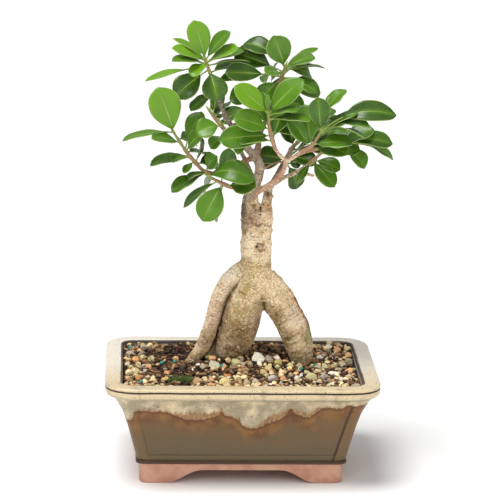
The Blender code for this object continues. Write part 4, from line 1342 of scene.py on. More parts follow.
@dataclass
class Wood:
    """The plant's wood: aerial roots, trunk and branches, grown together."""

    step: float = 2.0
    voxel: float = 0.8
    smoothing: int = 3
    thinning: float = 0.4        # of the branches, whose bark adds to their width
    lump: float = 0.8
    wrinkle: float = 0.22
    grain: float = 0.2
    seam_top: float = 148.0      # where the left root leaves the trunk
    flat_above: float = 160.0    # above it, seams are drawn as seen from the front
    crevice_back: float = 20.0   # behind it, the crevice's painted shade has faded out
    # The way from the camera to the wood
    sight: Vector = field(default_factory=lambda: Vector((0.048, 0.972, -0.229)))
    nearness: float = 2.5        # how many widths away a knot or seam still shows
    run_apart: float = 37.0      # between the wrinkles' starts on different limbs
    ring_height: float = 86.0    # of the crease round the right root's foot
    lift: float = 1.15           # of the stains, as the crown shades the trunk
    # Painted shade: in the crevice between the roots, in the hollow behind it, and towards the soil
    crevice_shade: str = "#1C1009"
    hollow_shade: str = "#5A4324"
    soil_shade: str = "#75643A"
    # Wood between the left and the middle root, which closes the gap behind their seam
    # It is painted dark, as the shade between the roots
    web: tuple[Knot, ...] = ((-6, 20, 128, 5), (-12, 21, 113, 6.5), (-16, 22, 99, 7),
                             (-19, 23, 87, 6.5), (-22, 23, 76, 5.5), (-23, 23, 64, 4))
    # Place, width and height of scars and knots, hollow where the height is below 0
    knots: Rows = (
        ((14.4, 2, 170.4), 2.4, 1), ((11.2, 2, 170.9), 1.1, -1.8),
        ((8.4, 6, 201.4), 2.2, 1.8), ((8.7, 6, 201.6), 1.1, -1.6),
        ((20.6, 9, 209.6), 2, 1.8), ((19, 9, 210.3), 1, -1.6),
        ((21.8, 10, 208.5), 1.2, 2), ((13, 8, 203.1), 1.2, 0.9),
        ((5.8, 3, 189.4), 3.6, 1), ((19.8, 6, 196.6), 3.2, 1.2),
        ((0.2, 14, 189.6), 1.3, 1.8), ((0, 14, 172), 1.2, 1.4),
        ((22.8, 13, 190), 1.5, 1.2), ((23.2, 13, 181.5), 1.4, 1.2),
        ((1, 14, 180), 2, 0.9), ((22.6, 13, 172), 2.6, 0.8),
        ((46, 2.4, 108), 5, 0.8), ((30, 1.8, 124), 4.5, 0.9),
        ((-20, 8.2, 116), 2.5, 0.7), ((2, 1.5, 118), 6, 0.9))
    # Ends, width, height, colour and strength of cracks, folds, peeling edges and painted shade
    seams: Rows = (
        ((13.6, 6, 201), (13.7, 5, 198.9), 0.55, -0.6, "#2A1A0E", 1.6),
        ((13.7, 5, 198.9), (13.8, 4, 195.8), 0.6, -0.9, "#2A1A0E", 2),
        ((16, 7, 201.6), (20.9, 10, 201.1), 0.9, 1, "#D9B07A", 0.9),
        ((13, 8, 203.1), (20.9, 10, 202.6), 0.6, -0.4, "#A0703F", 0.9),
        ((11.3, 1.8, 169.8), (14.3, 1.6, 167.7), 0.6, -0.5, "#7A522F", 1.1),
        ((14.3, 1.6, 167.7), (16.9, 2, 168.5), 0.6, -0.5, "#7A522F", 1.1),
        ((11.5, 1.8, 173.6), (16.5, 2, 173), 0.8, -0.6, "#6B4B30", 1),
        ((7, 2.6, 179), (12.6, 2, 178.2), 0.6, -0.6, "#6B4E32", 0.9),
        ((9.5, 2.4, 188), (14, 2.2, 187.4), 0.7, -0.6, "#6B4A34", 0.8),
        ((18, 4, 187.5), (22, 8, 186), 0.8, -0.6, "#6B4A34", 0.8),
        ((42.3, 9, 130.5), (49.5, 9, 120.5), 1.6, 0.7, "#8A4E2C", 1.2),
        ((49.5, 9, 120.5), (55.1, 9, 108.4), 1.7, 0.7, "#7A4526", 1.1),
        # painted shade along the right root's right edge
        ((55.1, 10, 108.4), (58.4, 10, 95), 1.5, 0, "#4A3520", 0.9),
        ((-5, 2, 114), (8, 1, 111), 0.8, -0.5, "#7A6038", 0.6),
        ((-6, 4, 99), (6, 3, 97), 0.8, -0.5, "#6E5432", 0.6),
        ((39, 4, 86.5), (56, 5, 87.5), 0.9, -0.9, "#6B5636", 0.8),
        ((40, 4, 81.5), (56, 5, 82.5), 0.8, -0.7, "#5E4B2E", 0.7),
        # painted shade in the groove of the crotch between the middle and right roots
        ((16.3, 3, 130), (18.5, 5, 120.8), 1.3, -0.6, "#5A4A22", 0.9))
    # Patches of the bark's own colour, and of painted shade where marked
    stains_and_shade: tuple[Stain, ...] = (
        Stain((11.2, 2, 170.9), (1.1, 4, 1.5), "#3A2212", 1.6),
        Stain((14, 2, 169.6), (3.6, 4, 2.4), "#B08A5C", 0.6),
        Stain((8.7, 6, 201.6), (1.2, 4, 1.2), "#54301C", 1.6),
        Stain((8.6, 6, 201.4), (2.4, 4, 2.2), "#A87048", 0.9),
        Stain((19, 9, 210.3), (1.5, 5, 1.7), "#5E3A20", 1.4),
        Stain((21.8, 10, 208.5), (1.3, 5, 1.3), "#D69A68", 1.1),
        Stain((20.4, 6, 196.6), (2.6, 5, 3.4), "#BD8656", 0.8),
        Stain((18.6, 6, 197.6), (1.8, 5, 2.4), "#A98A74", 0.7),
        Stain((6, 3, 190.5), (6.5, 8, 5.2), "#94705C", 0.95),
        Stain((9, 3, 197), (4, 6, 4.5), "#A2917E", 0.8),
        # painted shade down the stem's left edge
        Stain((0.4, 12, 197), (4, 11, 14), "#5F503B", 1.1),
        Stain((2.2, 7, 182), (2.4, 5, 3.4), "#7A5A38", 0.8),
        Stain((6, 3, 171), (4.6, 5, 9), "#F0DFBC", 0.9),
        Stain((8, 3, 152), (9, 6, 7), "#C9B47C", 0.7),
        Stain((4, 3, 138), (8, 7, 9), "#A9954F", 0.7),
        Stain((16, 3, 142), (6, 7, 9), "#D9BC90", 0.6),
        Stain((0, 3, 120), (9, 7, 10), "#A78F58", 0.75),
        # painted shade: the middle root darker towards its foot and down its right side
        Stain((0, 4, 104), (11, 8, 12), "#866B42", 0.95),
        Stain((-5, 8, 88), (13, 12, 9), "#6A5230", 0.9),
        Stain((13, 8, 104), (4, 9, 14), "#8A6448", 0.9),
        # painted shade in the crotch between the middle and right roots
        Stain((14.8, 4, 126), (4.6, 7, 7), "#80703C", 0.8),
        Stain((-9, 8, 146), (9, 9, 9), "#EADAC0", 0.9),
        Stain((-20, 9, 116), (6, 7, 12), "#C6A78C", 0.8),
        # painted shade on the left root's lower part
        Stain((-27, 10, 96), (7, 7, 12), "#9A7A5C", 0.8),
        Stain((27, 3, 133), (9, 7, 9), "#DCC29A", 0.6),
        Stain((43, 4, 118), (8, 8, 10), "#C4A98C", 0.6),
        Stain((29, 6, 113), (4, 7, 10), "#8A7A40", 0.9),
        Stain((36, 6, 98), (4, 7, 8), "#7A6A3A", 0.8),
        Stain((53, 6, 100), (4.6, 7, 10), "#8E8850", 0.8),
        # painted shade on the right root's foot
        Stain((47, 5, 84), (10, 8, 5), "#80703F", 0.7))
    # Colour and strength of the bark of stems and branches
    coats: dict[str, tuple[str, float]] = field(default_factory=lambda: {
        "left_stem": ("#9C8D7E", 0.95), "right_stub": ("#B9AA92", 0.95),
        "front_branch": ("#D2A88A", 0.85), "left_arm": ("#E6C4A6", 0.9),
        "right_arm": ("#E6C4A6", 0.9), "far_arm": ("#DAB496", 0.85),
        "cut_stub": ("#E6C8A6", 0.95), "dead_stub": ("#8A6A55", 0.8),
        "top_stem": ("#80604E", 0.8), "long_left_twig": ("#8F7158", 0.7),
        "cross_twig": ("#8A6A55", 0.7), "centre_left_twig": ("#8F7158", 0.7)})

    def paths(self) -> dict[str, list[Vector]]:
        """Smooth the run of every limb, and slim its branches for their bark.

        Returns:
            Place and radius along each limb.
        """
        paths = {name: smooth_path(points, self.step)
                 for name, points in (ROOTS | {"web": self.web} | BRANCHES).items()}
        for path in paths.values():
            for knot in path:
                knot.w -= self.thinning * clamped((3.6 - knot.w) / 1.2)
        return paths

    def build(self, bark: FicusBark) -> None:
        """Grow the limbs together into one closed body and wrinkle their bark.

        Args:
            bark: The finish.
        """
        paths = self.paths()
        wood = limbs("trunk_bark", paths.values(), 6)
        blend = wood.modifiers.new("grow_together", "REMESH")
        blend.mode = "VOXEL"
        blend.voxel_size = self.voxel * MM
        blend.use_smooth_shade = True
        soften = wood.modifiers.new("soften", "SMOOTH")
        soften.factor = 0.5
        soften.iterations = self.smoothing
        apply_all(wood)
        self.dress(wood.data, paths)
        coat(wood, bark.material())
        choose([wood])
        bpy.ops.object.shade_smooth()
        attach(wood, "root")
        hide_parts("trunk")

    def on_bark(self, surface: BVHTree, point: Point) -> Vector:
        """Find the place on the bark that the photo shows in line with a point.

        Args:
            surface: The bark.
            point: The point, in millimetres.

        Returns:
            The place, in millimetres.
        """
        spot = surface.ray_cast(placed(point) - self.sight * 0.2, self.sight)[0]
        if spot is None:
            spot = surface.find_nearest(placed(point))[0]
        return in_plan(spot)

    def spot_at(self, place: Vector, limbs_near: list[Limb]) -> BarkSpot:
        """Find the limb that a place belongs to.

        Args:
            place: A place on the bark.
            limbs_near: All limbs.

        Returns:
            What the place is like.
        """
        near = []
        for number, limb in enumerate(limbs_near):
            point, index, distance = limb.tree.find(place)
            near.append((distance - limb.path[index].w, number, index))
        near.sort()
        depth, number, index = near[0]
        limb = limbs_near[number]
        last = len(limb.path) - 1
        way = limb.path[min(index + 1, last)].xyz - limb.path[max(index - 1, 0)].xyz
        out = place - limb.path[index].xyz
        run = limb.runs[index] + out.dot(way.normalized()) + self.run_apart * number
        return BarkSpot(place, limb.name, limbs_near[near[1][1]].name, near[1][0] - depth,
                        limb.path[index].w, run, 1.0 + 0.7 * noise.noise(place / 2.2))

    def rise(self, spot: BarkSpot, knots: Sequence[tuple[Vector, float, float]]) -> list[float]:
        """How far lumps, wrinkles, grain, knots and the foot's crease move the bark.

        Args:
            spot: Where.
            knots: Place, width and height of each knot.

        Returns:
            Each move in millimetres, outwards.
        """
        place = spot.place
        big = min(1.0, spot.radius / 9.0)
        patch = clamped(0.4 + 1.4 * noise.noise(place / 13.0))
        bands = noise.noise(Vector((spot.run / 1.6, place.x / 9.0, place.y / 9.0)))
        moves = [self.lump * big * noise.fractal(place / 9.0, 1.0, 2.0, 3),
                 self.wrinkle * big * (patch + 0.3) * bands * 1.6,
                 self.grain * (0.35 + patch) * noise.noise(place / 1.15)]
        for centre, width, height in knots:
            away = (place - centre).length / width
            if away < self.nearness:
                moves.append(height * math.exp(-away * away))
        if spot.limb == "right_root":
            moves.append(-0.7 * math.exp(-(place.z - self.ring_height) ** 2))
        return moves

    def seam_lines(self, spot: BarkSpot, seams: Sequence[tuple]) -> tuple[list[float], list[Layer]]:
        """What the seams do to the bark.

        Args:
            spot: Where.
            seams: Ends, width, height, colour and strength of each seam.

        Returns:
            Their moves in millimetres, and their colours.
        """
        flat = Vector((1.0, 0.25, 1.0))
        moves, layers = [], []
        for start, end, width, height, code, strength in seams:
            spread = end - start
            share = (spot.place - start).dot(spread) / spread.length_squared
            away = spot.place - (start + spread * clamped(share))
            away = (away * flat if start.z > self.flat_above else away).length / width
            if away < self.nearness:
                bell = math.exp(-away * away)
                moves.append(height * bell)
                layers.append((code, strength * bell * spot.rough))
        return moves, layers

    def colours(self, spot: BarkSpot, drawn: list[Layer]) -> list[Layer]:
        """The layers of colour at a spot, from the lowest.

        Args:
            spot: Where.
            drawn: The colours of its seams.

        Returns:
            Coat, stains, seams, then painted shade towards the soil and between the roots.
        """
        place, layers = spot.place, []
        if spot.limb in self.coats:
            code, strength = self.coats[spot.limb]
            streak = noise.noise(Vector((spot.run / 5.0, place.x, place.y)))
            layers.append((code, strength * (0.35 + 0.65 * spot.young) * (0.8 + 0.4 * streak)))
        layers += [(stain.colour, stain.weight(place) * spot.rough)
                   for stain in reversed(self.stains_and_shade)]
        layers += drawn
        # Painted shade darkens the roots towards the soil
        if spot.thick:
            layers.append((self.soil_shade, 0.65 * clamped((88 - place.z) / 10) * spot.rough))
        # Painted shade fills the crevice between the left root and its neighbours, and the web behind
        front = clamped((self.crevice_back - place.y) / 4)
        pair = {spot.limb, spot.beside}
        if "left_root" in pair and pair & {"middle_root", "web", "trunk"}:
            high = front * clamped((self.seam_top - place.z) / 10)
            if spot.limb != "left_root":
                layers.append((self.hollow_shade, (1.0 - spot.gap / 9.0) * high))
            painted_shade = 0.6 + 0.9 * clamped((132.0 - place.z) / 30)
            layers.append((self.crevice_shade, painted_shade * (1.0 - spot.gap / 3.4) * high))
        elif spot.limb == "web":
            layers.append((self.crevice_shade, 0.9 * front))
        return layers

    def blended(self, layers: list[Layer]) -> list[float]:
        """Lay colours over each other.

        Args:
            layers: The colours, from the lowest.

        Returns:
            Red, green, blue and how much they cover.
        """
        colour, cover = Vector((0.0, 0.0, 0.0)), 0.0
        for code, weight in layers:
            weight = min(1.0, weight)
            if weight > 0.01:
                total = weight + cover * (1 - weight)
                shade = Vector(linear(code)[:3]) * self.lift
                colour = (shade * weight + colour * cover * (1 - weight)) / total
                cover = total
        return [*colour, cover]

    def dress(self, mesh: Mesh, paths: dict[str, list[Vector]]) -> None:
        """Move the surface by lumps, wrinkles and knots, and colour its stains and painted shade.

        Args:
            mesh: The smooth body.
            paths: The run of every limb.
        """
        grown = [Limb(name, path) for name, path in paths.items()]
        surface = BVHTree.FromPolygons([vertex.co for vertex in mesh.vertices],
                                       [tuple(face.vertices) for face in mesh.polygons])
        knots = [(self.on_bark(surface, centre), *sizes) for centre, *sizes in self.knots]
        seams = [(self.on_bark(surface, start), self.on_bark(surface, end), *looks)
                 for start, end, *looks in self.seams]
        along, young, stained = [], [], []
        normals = [Vector(vertex.normal) for vertex in mesh.vertices]
        for vertex, normal in zip(mesh.vertices, normals):
            spot = self.spot_at(in_plan(vertex.co), grown)
            moves, drawn = self.seam_lines(spot, seams)
            vertex.co += normal * (sum(self.rise(spot, knots) + moves) * MM)
            along.append(spot.run)
            young.append(spot.young)
            stained += self.blended(self.colours(spot, drawn))
        mark(mesh, "along", along)
        mark(mesh, "young", young)
        stains_and_shade = mesh.attributes.new("stain", "FLOAT_COLOR", "POINT")
        stains_and_shade.data.foreach_set("color", stained)


@dataclass
class Foliage:
    """All leafy shoots. A blade is modelled once, then every leaf is shaped from its copy."""

    blade_steps: int = 14
    blade_strips: int = 8
    blade_thickness: float = 0.5
    stalk_radius: float = 0.62
    rib_radius: float = 0.36
    bud_length: float = 5.0
    sunk: float = 1.5            # of the twig's foot, into its branch
    seed: int = 7
    # Place along the blade, width there as a share of the whole width
    broad: Rows = (
        (0.0, 0.07), (0.1, 0.27), (0.25, 0.61), (0.45, 0.91), (0.63, 1.0), (0.78, 0.93),
        (0.89, 0.71), (0.96, 0.41), (1.0, 0.06))
    even: Rows = (
        (0.0, 0.07), (0.1, 0.38), (0.25, 0.73), (0.4, 0.94), (0.55, 1.0), (0.7, 0.94),
        (0.84, 0.75), (0.94, 0.46), (1.0, 0.07))

    def width_at(self, share: float, broad: float) -> float:
        """Width of the blade at a place.

        Args:
            share: The place along the blade.
            broad: 1 for a blade that is widest near its tip, 0 for an even one.

        Returns:
            The width as a share of the widest.
        """
        widths = []
        for outline in (self.even, self.broad):
            for (low, first), (high, second) in zip(outline, outline[1:]):
                if share <= high:
                    widths.append(first + (second - first) * (share - low) / (high - low))
                    break
            else:
                widths.append(outline[-1][1])
        return widths[0] + (widths[1] - widths[0]) * broad

    def template(self, upper: Material, lower: Material) -> Object:
        """Model one flat blade, a unit long and wide, with its UV map.

        Args:
            upper: Finish of its upper side.
            lower: Finish of its underside.

        Returns:
            The blade that every leaf is copied from.
        """
        deselect()
        bpy.ops.mesh.primitive_grid_add(x_subdivisions=self.blade_steps,
                                        y_subdivisions=self.blade_strips, size=1.0)
        blade = active()
        blade.name = blade.data.name = "blade_template"
        coat(blade, upper, lower)
        bpy.ops.object.shade_smooth()
        return blade

    def shape(self, mesh: Mesh, blade: Blade, rng: random.Random) -> None:
        """Bend a copy of the flat blade to its leaf's run, fold and waves.

        Args:
            mesh: The copied mesh.
            blade: The leaf.
            rng: Draws the waves and the tip's curl.
        """
        leaf = blade.leaf
        wave = rng.uniform(0.15, 0.5) * leaf.width / 16
        beats = rng.uniform(1.2, 2.2)
        phases = rng.uniform(0, 1), rng.uniform(0, 1)
        broad = rng.uniform(0.1, 1.1)
        curl = rng.uniform(-0.4, 1.8)
        twist = rng.uniform(-0.12, 0.12)
        shift = Vector((rng.uniform(0, 99), rng.uniform(0, 99), 0.0))
        for vertex in mesh.vertices:
            along, across = vertex.co.x + 0.5, vertex.co.y * 2
            place = blade.start + (1 - blade.start) * along
            half = self.width_at(along, broad) * leaf.slim * leaf.width / 2
            far = abs(across)
            height = 0.35 + leaf.fold * half * (math.sqrt(far * far + 0.015) - 0.12)
            height -= 0.3 * math.exp(-(across / 0.09) ** 2) * (1 - along)
            phase = phases[0] if across > 0 else phases[1]
            height += wave * math.sin(math.tau * (along * beats + phase)) * far ** 2.5
            height += 0.35 * noise.noise(Vector((along * 4, across * 1.6, 0.0)) + shift)
            height -= curl * max(0.0, (along - 0.65) / 0.35) ** 2
            height += twist * across * half * along
            vertex.co = placed(blade.middle(place) - blade.side * (across * half)
                               + blade.normal * height)

    def leaves(self, name: str, shoot: Shoot, blades: list[Blade], template: Object,
               rng: random.Random) -> Object:
        """Model the blades of a shoot.

        Args:
            name: The shoot.
            shoot: Its age.
            blades: Its placed leaves.
            template: The flat blade.
            rng: Draws what differs between leaves.

        Returns:
            All of them as one piece, with their thickness.
        """
        leaves = []
        for blade in blades:
            mesh = template.data.copy()
            self.shape(mesh, blade, rng)
            age = blade.leaf.age if blade.leaf.age is not MATURE else shoot.age
            mark(mesh, "tone", age.value + rng.uniform(-0.09, 0.09))
            mark(mesh, "blade_mm", (1 - blade.start) * blade.chord.length)
            leaves.append(linked("leaf", mesh))
        foliage = join(name + "_leaves", leaves)
        thick = foliage.modifiers.new("thickness", "SOLIDIFY")
        thick.thickness = self.blade_thickness * MM
        thick.offset = -1.0
        thick.material_offset = 1
        apply_all(foliage)
        return foliage

    def twig(self, name: str, path: list[Vector], blades: list[Blade]) -> Object:
        """Model a shoot's twig, which swells where leaves grow and browns towards its foot.

        Args:
            name: The shoot.
            path: The twig's run.
            blades: The placed leaves.

        Returns:
            The twig.
        """
        length = len(path)
        for index, knot in enumerate(path):
            closest = min(((knot.xyz - blade.root).length for blade in blades), default=9.0)
            knot.w *= 0.86 - 0.24 * index / length + 0.3 * math.exp(-(closest / 1.5) ** 2)
        twig = limbs(name + "_twig", [path], 4)
        tree = KDTree(length)
        for index, knot in enumerate(path):
            tree.insert(placed(knot), index)
        tree.balance()
        mark(twig.data, "age", [0.95 - 0.85 * (tree.find(vertex.co)[1] / length) ** 2
                                for vertex in twig.data.vertices])
        return twig

    def stalks(self, name: str, path: list[Vector], blades: list[Blade]) -> Object:
        """Model the leaf stalks, the midribs under the blades and the bud at the twig's tip.

        Args:
            name: The shoot.
            path: The twig's run.
            blades: The placed leaves.

        Returns:
            All of them as one piece.
        """
        stalks = []
        for blade in blades:
            stalks.append([(*blade.middle(blade.start * step / 4),
                            self.stalk_radius * (1.15 - 0.06 * step)) for step in range(5)])
            rib = []
            for step in range(8):
                share = step / 7
                radius = self.rib_radius * (1 - 0.75 * share)
                place = blade.start + (1 - blade.start) * 0.86 * share
                point = blade.middle(place) - blade.normal * (radius + 0.12 * share)
                rib.append((*point, radius))
            stalks.append(rib)
        end, before = path[-1].xyz, path[-3].xyz
        tip_way = (end - before).normalized()
        stalks.append([(*(end + tip_way * self.bud_length * step / 5),
                        1.05 * (1 - (step / 5) ** 1.6) + 0.08) for step in range(6)])
        green = limbs(name + "_stalks", stalks, 2)
        mark(green.data, "age", 0.0)
        return green

    def build_shoot(self, name: str, shoot: Shoot, blades: list[Blade], template: Object,
                    twig_skin: Material, rng: random.Random) -> None:
        """Model one shoot as one piece: blades, stalks, twig and bud.

        Args:
            name: The CAD node that it replaces.
            shoot: Its twig.
            blades: Its placed leaves.
            template: The flat blade.
            twig_skin: Finish of twig and stalks.
            rng: Draws what differs between leaves.
        """
        foliage = self.leaves(name, shoot, blades, template, rng)
        path = smooth_path(shoot.twig, 1.5)
        foot = path[0].xyz - (path[1].xyz - path[0].xyz).normalized() * self.sunk
        path.insert(0, Vector((*foot, path[0].w)))
        twig, green = self.twig(name, path, blades), self.stalks(name, path, blades)
        for piece in (twig, green):
            coat(piece, twig_skin)
            choose([piece])
            bpy.ops.object.shade_smooth()
        made = join(name + "_living", [foliage, twig, green])
        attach(made, "root")
        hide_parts(name)

    def build(self, skin: LeafSkin, twig: GreenTwig) -> None:
        """Model every shoot.

        Args:
            skin: Finish of the blades.
            twig: Finish of twigs and stalks.
        """
        rng = random.Random(self.seed)
        template = self.template(skin.upper(), skin.lower())
        twig_skin = twig.material()
        for name, blades in Crown().plan().items():
            self.build_shoot(name, SHOOTS[name], blades, template, twig_skin, rng)
        bpy.data.objects.remove(template, do_unlink=True)


@dataclass
class PottingMix:
    """The soil: dark bark bits strewn with gravel, fertiliser beads and a tuft of moss."""

    edge_height: float = 75.0
    back_rise: float = 2.4
    mound_height: float = 5.0
    mound_place: tuple[float, float] = (8.0, 16.0)
    mound_spread: tuple[float, float] = (48.0, 32.0)
    half_length: float = 89.6
    half_depth: float = 62.4
    corner: float = 8.6
    # Height and inset from the top's edge where the filled pot's wall turns
    turns: Rows = ((61.5, 7.8), (50, 12.8), (21.6, 18.8), (18.9, 21.4))
    cells: tuple[int, int] = (118, 82)
    seed: int = 23
    stone_count: int = 520
    chip_count: int = 2400
    # Least, greatest and most usual size
    stone_size: tuple[float, float, float] = (2.6, 10.0, 4.4)
    stone_facets: int = 13
    # Colour and share of the stones
    palette: Rows = (
        ("#EAD3A0", 0.27), ("#DFAC78", 0.08), ("#CDB382", 0.2), ("#CFC890", 0.14),
        ("#B7AA8E", 0.14), ("#F3E9D2", 0.08), ("#A0937E", 0.06), ("#C08450", 0.03))
    chip_size: tuple[float, float, float] = (1.6, 6.5, 2.6)
    chip_palette: tuple[str, ...] = ("#4C321E", "#33211A", "#60402A", "#402A1E", "#8A6A4A",
                                     "#7C5C3E", "#B4946A")
    # Middle, reach and strength of the places where bark shows between few stones
    bare: Rows = (
        (-50, 4, 21, 70, 1.4), (-14, -20, 24, 18, 0.7), (18, 36, 28, 30, 1.6),
        (14, -24, 12, 16, 1), (-40, 40, 50, 18, 0.9), (52, -8, 12, 8, 0.6), (-46, -38, 11, 8, 2.5))
    # Place, width and colour of the stones that show most
    known: Rows = (
        (14, 5, 13, "#E0DAC6"), (-3, 1, 10.5, "#CFC68C"), (22, 7, 8.5, "#B5AC98"),
        (29, 0, 9, "#C2BA6C"), (35, 6, 6, "#E6B27C"), (38, -8, 6, "#EED28E"),
        (-19, -3, 11, "#B9B49A"), (-32, 1, 4.5, "#F6F0E4"), (-49, 18, 6, "#E4B07C"),
        (-56, -15, 7, "#DCA070"), (-57, -34, 8, "#C9A860"), (-34, -41, 10, "#C0A06E"),
        (-13, -43, 10, "#DCC68A"), (23, -33, 10, "#B3A8A4"), (31, -31, 6, "#D69A70"),
        (53, -33, 11, "#BDB585"), (46, -25, 7, "#DAD5C8"), (62, -30, 9, "#B4AA98"),
        (84, 12, 9, "#B6B290"), (83, -10, 8, "#DCA874"), (78, 44, 8, "#CC9868"),
        (-80, -10, 8, "#D8C998"), (-80, 16, 8, "#D6A068"), (10, -52, 9, "#E2BC94"))
    # Places of the fertiliser beads
    beads: Rows = ((-60, 6), (-50, 10), (-14, -6), (-76, -42), (46, -10), (58, 2), (73, 0),
                   (-84, 48))
    bead_size: float = 3.2
    bead_colour: str = "#2F9C88"
    moss_place: tuple[float, float] = (-47.0, -37.0)
    moss_spread: tuple[float, float] = (10.0, 6.0)
    moss_blades: int = 260
    moss_colour: str = "#4E6A28"

    def height(self, x: float, y: float) -> float:
        """Work out the height of the soil.

        Args:
            x: The place along the pot.
            y: The place across it.

        Returns:
            The height in millimetres.
        """
        far = (((x - self.mound_place[0]) / self.mound_spread[0]) ** 2
               + ((y - self.mound_place[1]) / self.mound_spread[1]) ** 2)
        uneven = math.sin(x * 0.21) * math.cos(y * 0.27) + math.sin(x * 0.09 + y * 0.13)
        rise = self.back_rise * max(0.0, y / self.half_depth)
        return self.edge_height + rise + self.mound_height * math.exp(-far) + 0.4 * uneven

    def inside(self, x: float, y: float, room: float) -> bool:
        """Test whether a place lies within the pot's wall.

        Args:
            x: The place along the pot.
            y: The place across it.
            room: The room to spare.

        Returns:
            Whether it does.
        """
        over_x = max(0.0, abs(x) - (self.half_length - self.corner))
        over_y = max(0.0, abs(y) - (self.half_depth - self.corner))
        return math.hypot(over_x, over_y) < self.corner - room

    def bed(self) -> Object:
        """Model the soil's body: a rough top that fills the pot down to its floor.

        Returns:
            The body.
        """
        deselect()
        bpy.ops.mesh.primitive_grid_add(x_subdivisions=self.cells[0],
                                        y_subdivisions=self.cells[1], size=2.0)
        bed = active()
        bed.name = bed.data.name = "soil_bed"
        for vertex in bed.data.vertices:
            x, y = vertex.co.x * self.half_length, vertex.co.y * self.half_depth
            over_x = abs(x) - (self.half_length - self.corner)
            over_y = abs(y) - (self.half_depth - self.corner)
            if over_x > 0 and over_y > 0:
                reach = max(over_x, over_y) / math.hypot(over_x, over_y)
                x -= math.copysign(over_x * (1 - reach), x)
                y -= math.copysign(over_y * (1 - reach), y)
            rough = noise.fractal(Vector((x / 3.2, y / 3.2, 0.0)), 0.8, 2.1, 4)
            vertex.co = placed((x, y, self.height(x, y) - 0.8 + 1.1 * rough))
        bpy.ops.object.mode_set(mode="EDIT")
        bpy.ops.mesh.select_all(action="SELECT")
        level, scale_x, scale_y = self.edge_height, 1.0, 1.0
        for number, (height, inset) in enumerate(self.turns):
            bpy.ops.mesh.extrude_region_move(
                TRANSFORM_OT_translate={"value": (0.0, 0.0, (height - level) * MM)})
            centre = placed((0.0, 0.0, height))
            if number == 0:
                bpy.ops.transform.resize(value=(1.0, 1.0, 0.0), center_override=centre)
                bpy.ops.mesh.dissolve_limited(angle_limit=math.radians(1))
            wide = (self.half_length - inset) / self.half_length
            deep = (self.half_depth - inset) / self.half_depth
            bpy.ops.transform.resize(value=(wide / scale_x, deep / scale_y, 1.0),
                                     center_override=centre)
            level, scale_x, scale_y = height, wide, deep
        bpy.ops.object.mode_set(mode="OBJECT")
        mend(0.0)
        bpy.ops.object.shade_smooth()
        tint(bed.data, self.chip_palette[1])
        return bed

    def stone_template(self, seed: int) -> Mesh:
        """Model one crushed stone, a unit wide, broken to flat facets.

        Args:
            seed: Sets its facets.

        Returns:
            The stone.
        """
        deselect()
        bpy.ops.mesh.primitive_ico_sphere_add(subdivisions=2, radius=0.5)
        stone = active()
        rng = random.Random(seed)
        facets = []
        for number in range(self.stone_facets):
            facing = Vector((rng.gauss(0, 1), rng.gauss(0, 1), rng.gauss(0, 1))).normalized()
            facets.append((facing, rng.uniform(0.27, 0.46)))
        for vertex in stone.data.vertices:
            way = vertex.co.normalized()
            reach = min(far / max(way.dot(facing), 0.01) for facing, far in facets)
            vertex.co = way * min(reach, 0.56)
            vertex.co.z *= 0.8
        mend(9)
        bpy.ops.object.shade_smooth_by_angle(angle=math.radians(24))
        mesh = stone.data
        bpy.data.objects.remove(stone, do_unlink=True)
        return mesh

    def chip_template(self, seed: int) -> Mesh:
        """Model one splinter of bark, a unit long.

        Args:
            seed: Sets its form.

        Returns:
            The splinter.
        """
        deselect()
        bpy.ops.mesh.primitive_cube_add(size=1.0)
        chip = active()
        rng = random.Random(seed)
        for vertex in chip.data.vertices:
            vertex.co = Vector((vertex.co.x * rng.uniform(0.7, 1.1),
                                vertex.co.y * rng.uniform(0.35, 0.7),
                                vertex.co.z * rng.uniform(0.2, 0.4)))
        mesh = chip.data
        bpy.data.objects.remove(chip, do_unlink=True)
        return mesh

    def drop(self, mesh: Mesh, place: Point, size: float, colour: str,
             rng: random.Random) -> Object:
        """Lay a copy of a piece on the soil.

        Args:
            mesh: The piece, a unit wide.
            place: Its middle, in millimetres.
            size: Its width in millimetres.
            colour: Its tint.
            rng: Draws how it lies.

        Returns:
            The laid piece.
        """
        copy = mesh.copy()
        turn = (Matrix.Rotation(rng.uniform(0, math.tau), 3, "Z")
                @ Matrix.Rotation(rng.gauss(0, 0.3), 3, "X")
                @ Matrix.Rotation(rng.gauss(0, 0.3), 3, "Y"))
        for vertex in copy.vertices:
            vertex.co = placed(turn @ vertex.co * size + Vector(place))
        tint(copy, colour, rng.uniform(0.9, 1.4))
        return linked("grit", copy)

    def strew(self, rng: random.Random) -> list[Object]:
        """Strew stones and bark chips over the bed, clear of the roots.

        Args:
            rng: Draws places, sizes and colours.

        Returns:
            The laid pieces.
        """
        stones = [self.stone_template(seed) for seed in range(14)]
        chips = [self.chip_template(seed) for seed in range(6)]
        feet = [(knot[0], knot[1], knot[3]) for points in ROOTS.values()
                for knot in smooth_path(points, 4.0) if 68 < knot[2] < 84]

        def drawn(sizes: tuple[float, float, float]) -> tuple[float, float, float]:
            """A size and a place somewhere in the pot."""
            return (rng.triangular(*sizes), rng.uniform(-self.half_length, self.half_length),
                    rng.uniform(-self.half_depth, self.half_depth))

        def clear(x: float, y: float, room: float) -> bool:
            """Whether a place has some room to the roots."""
            return all(math.hypot(x - px, y - py) >= radius + room for px, py, radius in feet)

